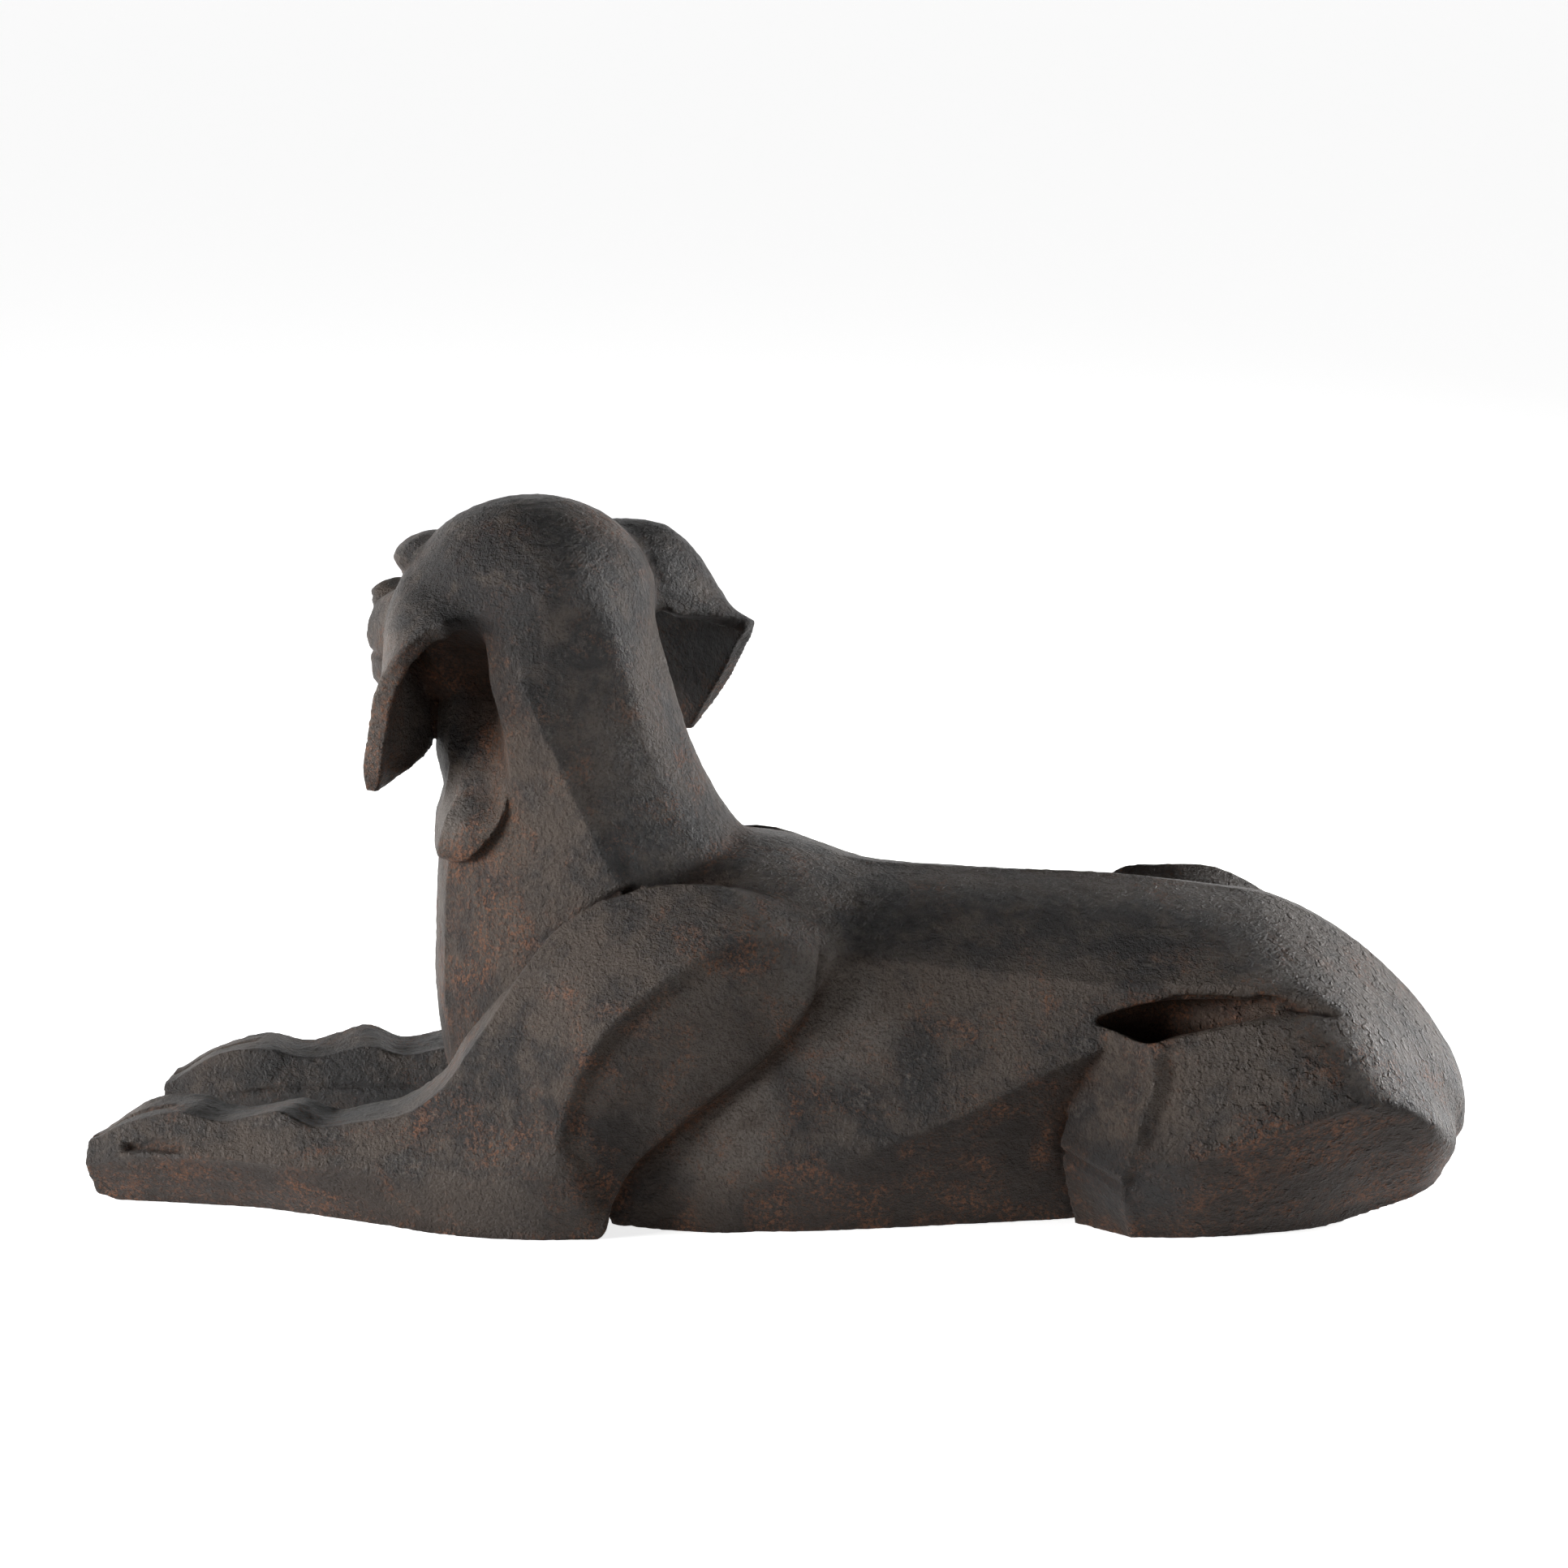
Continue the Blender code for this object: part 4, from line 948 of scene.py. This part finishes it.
# Shares of the two values that a blend adds, in their order there
DARK_MIX = (0.5, 0.5)
WORN_MIX = (0.55, 0.45)
DUST_MIX = (0.75, 0.25)
RUST_MIX = (0.75, 0.20)
SHADE_MIX = (0.25, 0.40)
DULL_MIX = (0.15, 0.25)
RELIEF_MIX = (0.6, 0.7)

# How strongly worn places, pale patches of painted light, black patches of painted shade and pits
# cover the colour under them
WEAR_AND_LIGHT_SHARE = 0.6
BLACK_SHARE = 0.9
PIT_SHARE = 0.5

# What facing down, a rusty patch, in the recess also painted light, and a hollow add to the rust's
# clouds, and how much of the rust a black patch of painted shade takes away
RUST_UNDER = 0.07
RUST_AND_LIGHT_PATCH = 0.08
RUST_HOLLOW = 0.10
RUST_LOSS = 0.85

# How far the clouds take the dullness down and up, and the shares of nodules and pebbles in the
# finest relief
DULL_SPREAD = (-0.07, 0.09)
NODULE_SHARE = 0.9
PEBBLE_SHARE = 0.24


def patina(colours):
    """Waxed dark metal with rusty dust on what faces down and in hollows, and painted shade and
    light: brown in deep places, hollows and on what faces down, black patches where shade falls, pale
    patches where light falls.
    """
    material = bpy.data.materials.new("Patina")
    board = Board(material)
    shader = board.nodes["Principled BSDF"]
    hollow, deep, under = [board.put("ShaderNodeAttribute", {}, attribute_name=name).outputs["Fac"]
                           for name in ("hollow", "deep", "under")]
    blotches = board.noise(*BLOTCHES)
    clouds = board.noise(*CLOUDS)
    specks = board.noise(*SPECKS)
    grit = board.noise(*GRIT)

    def cover(base, share, layer):
        """The base colour covered by a share of a layer's colour."""
        return board.mix(share, base, (*layer, 1.0))

    dark = board.step(board.blend(blotches, clouds, DARK_MIX), DARK_MARKS)
    colour = board.mix(dark, (*colours.metal, 1.0), (*colours.dark, 1.0))
    wear_and_light = board.step(board.blend(clouds, specks, WORN_MIX), WORN_MARKS)
    # Pale patches of painted light
    painted_light = board.times(board.patches(LIGHT_PATCHES), board.step(clouds, LIGHT_MARKS))
    wear_and_light = board.math("MAXIMUM", board.times(wear_and_light, board.rest(under)), painted_light)
    colour = cover(colour, board.times(wear_and_light, WEAR_AND_LIGHT_SHARE), colours.wear_and_light)
    # Painted shade: brown on what faces down
    colour = cover(colour, under, colours.brown)

    # Black patches of painted shade, with some dirt between the forelegs
    black = board.times(board.patches(SHADE_PATCHES), board.step(clouds, BLACK_MARKS))
    colour = cover(colour, board.times(black, BLACK_SHARE), colours.dark)

    rusty = board.add(board.noise(*RUST_CLOUDS), under, RUST_UNDER)
    # The rusty patch in the recess is rust and also painted light in the shaded recess
    rusty = board.add(rusty, board.patches(RUST_AND_LIGHT_PATCHES), RUST_AND_LIGHT_PATCH)
    rusty = board.step(board.add(rusty, hollow, RUST_HOLLOW), RUST_MARKS)
    dust = board.step(board.blend(specks, clouds, DUST_MIX), DUST_MARKS)
    rust = board.blend(board.times(rusty, dust), deep, RUST_MIX)
    rust = board.times(rust, board.rest(black, RUST_LOSS))
    colour = cover(colour, rust, colours.rust)
    # Painted shade: brown in deep places and hollows, over the darker patina there
    shade = board.blend(deep, board.step(hollow, SHADE_MARKS), SHADE_MIX)
    colour = cover(colour, shade, colours.brown)
    pits = board.rest(board.step(grit, SOUND_MARKS))
    colour = cover(colour, board.times(pits, PIT_SHARE), colours.brown)
    bare = board.times(board.step(specks, BARE_MARKS), board.step(blotches, BARE_REGION))
    colour = cover(colour, bare, colours.pale)
    board.wire(colour, shader.inputs["Base Color"])

    dull = board.put("ShaderNodeMapRange", {"Value": clouds,
                                            "To Min": colours.roughness + DULL_SPREAD[0],
                                            "To Max": colours.roughness + DULL_SPREAD[1]})
    dullness = board.add(dull.outputs["Result"], board.blend(rust, deep, DULL_MIX), 1.0)
    board.wire(dullness, shader.inputs["Roughness"])

    place = board.put("ShaderNodeSeparateXYZ", {"Vector": board.coordinates["Object"]})
    nodules = board.times(board.step(board.noise(*NODULES), NODULE_MARKS),
                          board.step(place.outputs["X"], NODULE_REGION))
    pebbles = board.step(board.noise(*PEBBLES), PEBBLE_MARKS)
    height = board.blend(grit, specks, RELIEF_MIX)
    height = board.add(height, nodules, NODULE_SHARE)
    height = board.add(height, pebbles, PEBBLE_SHARE)
    bump = board.put("ShaderNodeBump", {"Height": height, "Strength": 1.0,
                                        "Distance": colours.relief})
    board.wire(bump.outputs["Normal"], shader.inputs["Normal"])
    shader.inputs["IOR"].default_value = colours.ior
    return material


def pebble(hound, name, size, depth):
    """Raise and sink the skin by clouds of one size."""
    clouds = bpy.data.textures.new(name, "CLOUDS")
    clouds.noise_scale = size
    clouds.noise_depth = GRAIN_LAYERS
    grain = hound.modifiers.new(name, "DISPLACE")
    grain.texture = clouds
    grain.texture_coords = "LOCAL"
    grain.strength = 2 * depth
    grain.mid_level = 0.5


class OBJECT_OT_hound_casting(bpy.types.Operator):
    """Build the hound's cast skin over its solid"""

    bl_idname = "object.hound_casting"
    bl_label = "Hound Casting"
    bl_options = {"REGISTER", "UNDO"}

    def execute(self, context):
        sizes = context.scene.hound_casting
        mesh_size = sizes.mesh_size
        hound = bpy.data.objects.new("Hound_skin", joined_forms())
        context.scene.collection.objects.link(hound)
        fuse = hound.modifiers.new("Fuse", "REMESH")
        fuse.mode = "VOXEL"
        fuse.voxel_size = mesh_size
        hound.data = finished_mesh(hound)
        hound.modifiers.clear()
        carve_surface(hound.data, mesh_size / UNIT)
        pebble(hound, "Grain", GRAIN_SIZE, sizes.grain_depth)
        pebble(hound, "Dimples", DIMPLE_SIZE, sizes.dimple_depth)
        thin = hound.modifiers.new("Thin", "DECIMATE")
        thin.ratio = min(1.0, sizes.triangles / (2 * len(hound.data.polygons)))
        hound.data = finished_mesh(hound)
        hound.data.name = "Hound_skin"
        hound.modifiers.clear()
        keep_largest_shell(hound.data)
        fit_to_box(hound.data, CAD_BOX)
        hound.data.materials.clear()
        hound.data.materials.append(patina(context.scene.hound_patina))
        hound.data.shade_smooth()
        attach(hound, "root")
        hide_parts("Hound")
        return {"FINISHED"}


def softbox(name, place, target, width, height, power):
    """A soft rectangular lamp that looks at its target and doesn't show itself."""
    data = bpy.data.lights.new(name, "AREA")
    data.shape = "RECTANGLE"
    data.size = width
    data.size_y = height
    data.energy = power
    lamp = bpy.data.objects.new(name, data)
    bpy.context.scene.collection.objects.link(lamp)
    lamp.location = place
    lamp.rotation_euler = (Vector(target) - Vector(place)).to_track_quat("-Z", "Y").to_euler()
    lamp.visible_camera = False


# The studio: heights between which the walls pass into the ceiling, from 0 at the horizon to 1
# overhead, the way to the bright back wall, and the span over which front passes into back
CEILING_SPAN = (0.08, 0.52)
BACK_WAY = (-0.35, 0.94, 0.0)
BACK_SPAN = (-0.8, 0.8)

# Its lamps: place, target, width and height, in metres
SIDE_LAMP = ((-2.6, -0.8, 0.4), (0.0, 0.0, 0.15), 1.2, 1.0)
RIM_LAMP = ((2.2, 1.1, 0.5), (0.1, 0.0, 0.2), 1.4, 1.2)

# Its floor: half the side in metres, dullness and share of sheen. Its camera: the sensor's width
# in millimetres
FLOOR_REACH = 20.0
FLOOR_ROUGHNESS = 0.9
FLOOR_SHEEN = 0.1
SENSOR_WIDTH = 36.0
WHITE = (1.0, 1.0, 1.0, 1.0)


def studio_walls(scene, stage):
    """Walls that are brightest behind the hound, under a dark ceiling."""
    world = bpy.data.worlds.new("Studio")
    board = Board(world)

    def level(way, span, low, high):
        """Brightness that runs from low to high over the span as one looks along the way."""
        along = board.vectors("DOT_PRODUCT", board.coordinates["Generated"], way)["Value"]
        wires = {"Value": along, "From Min": span[0], "From Max": span[1], "To Min": low,
                 "To Max": high}
        return board.put("ShaderNodeMapRange", wires).outputs["Result"]

    walls = board.times(level((0.0, 0.0, 1.0), CEILING_SPAN, 1.0, stage.ceiling),
                        level(BACK_WAY, BACK_SPAN, stage.front, stage.back))
    background = board.nodes["Background"]
    board.wire(walls, background.inputs["Strength"])
    background.inputs["Color"].default_value = WHITE
    scene.world = world


class OBJECT_OT_hound_stage(bpy.types.Operator):
    """Set up the pale floor, the soft studio light and the camera"""

    bl_idname = "object.hound_stage"
    bl_label = "Hound Stage"
    bl_options = {"REGISTER", "UNDO"}

    def execute(self, context):
        scene = context.scene
        stage = scene.hound_stage
        bm = bmesh.new()
        bmesh.ops.create_grid(bm, x_segments=1, y_segments=1, size=FLOOR_REACH)
        mesh = bpy.data.meshes.new("Floor")
        bm.to_mesh(mesh)
        bm.free()
        floor = bpy.data.objects.new("Floor", mesh)
        scene.collection.objects.link(floor)
        material = bpy.data.materials.new("Floor")
        material.use_nodes = True
        shader = material.node_tree.nodes["Principled BSDF"]
        for name, value in (("Base Color", (*stage.floor, 1.0)), ("Roughness", FLOOR_ROUGHNESS),
                            ("Specular IOR Level", FLOOR_SHEEN), ("Emission Color", WHITE),
                            ("Emission Strength", stage.floor_glow)):
            shader.inputs[name].default_value = value
        mesh.materials.append(material)

        studio_walls(scene, stage)
        softbox("Side light", *SIDE_LAMP, stage.side_light)
        softbox("Rim light", *RIM_LAMP, stage.rim_light)
        scene.view_settings.view_transform = "Standard"

        data = bpy.data.cameras.new("Camera")
        data.lens = stage.lens
        data.sensor_width = SENSOR_WIDTH
        camera = bpy.data.objects.new("Camera", data)
        scene.collection.objects.link(camera)
        back = Vector((math.sin(stage.azimuth) * math.cos(stage.elevation),
                       -math.cos(stage.azimuth) * math.cos(stage.elevation),
                       math.sin(stage.elevation)))
        camera.location = Vector((0.0, 0.0, stage.aim_height)) + back * stage.distance
        camera.rotation_euler = (-back).to_track_quat("-Z", "Y").to_euler()
        scene.camera = camera
        return {"FINISHED"}


class VIEW3D_PT_hound(bpy.types.Panel):
    """Sizes, colours and build steps of the reclining hound"""

    bl_label = "Reclining Hound"
    bl_idname = "VIEW3D_PT_hound"
    bl_space_type = "VIEW_3D"
    bl_region_type = "UI"
    bl_category = "Hound"

    def draw(self, context):
        layout = self.layout
        for title, group, operator in (("Casting", "hound_casting", "object.hound_casting"),
                                       ("Patina", "hound_patina", None),
                                       ("Stage", "hound_stage", "object.hound_stage")):
            box = layout.box()
            box.label(text=title)
            settings = getattr(context.scene, group)
            for name in settings.__annotations__:
                box.prop(settings, name)
            if operator:
                box.operator(operator)


CLASSES = (HoundCastingSettings, HoundPatinaSettings, HoundStageSettings,
           OBJECT_OT_hound_casting, OBJECT_OT_hound_stage, VIEW3D_PT_hound)


def register():
    for cls in CLASSES:
        bpy.utils.register_class(cls)
    bpy.types.Scene.hound_casting = bpy.props.PointerProperty(type=HoundCastingSettings)
    bpy.types.Scene.hound_patina = bpy.props.PointerProperty(type=HoundPatinaSettings)
    bpy.types.Scene.hound_stage = bpy.props.PointerProperty(type=HoundStageSettings)


def unregister():
    del bpy.types.Scene.hound_stage
    del bpy.types.Scene.hound_patina
    del bpy.types.Scene.hound_casting
    for cls in reversed(CLASSES):
        bpy.utils.unregister_class(cls)


def main():
    register()
    bpy.ops.object.hound_casting()
    bpy.ops.object.hound_stage()


if __name__ == "__main__":
    main()
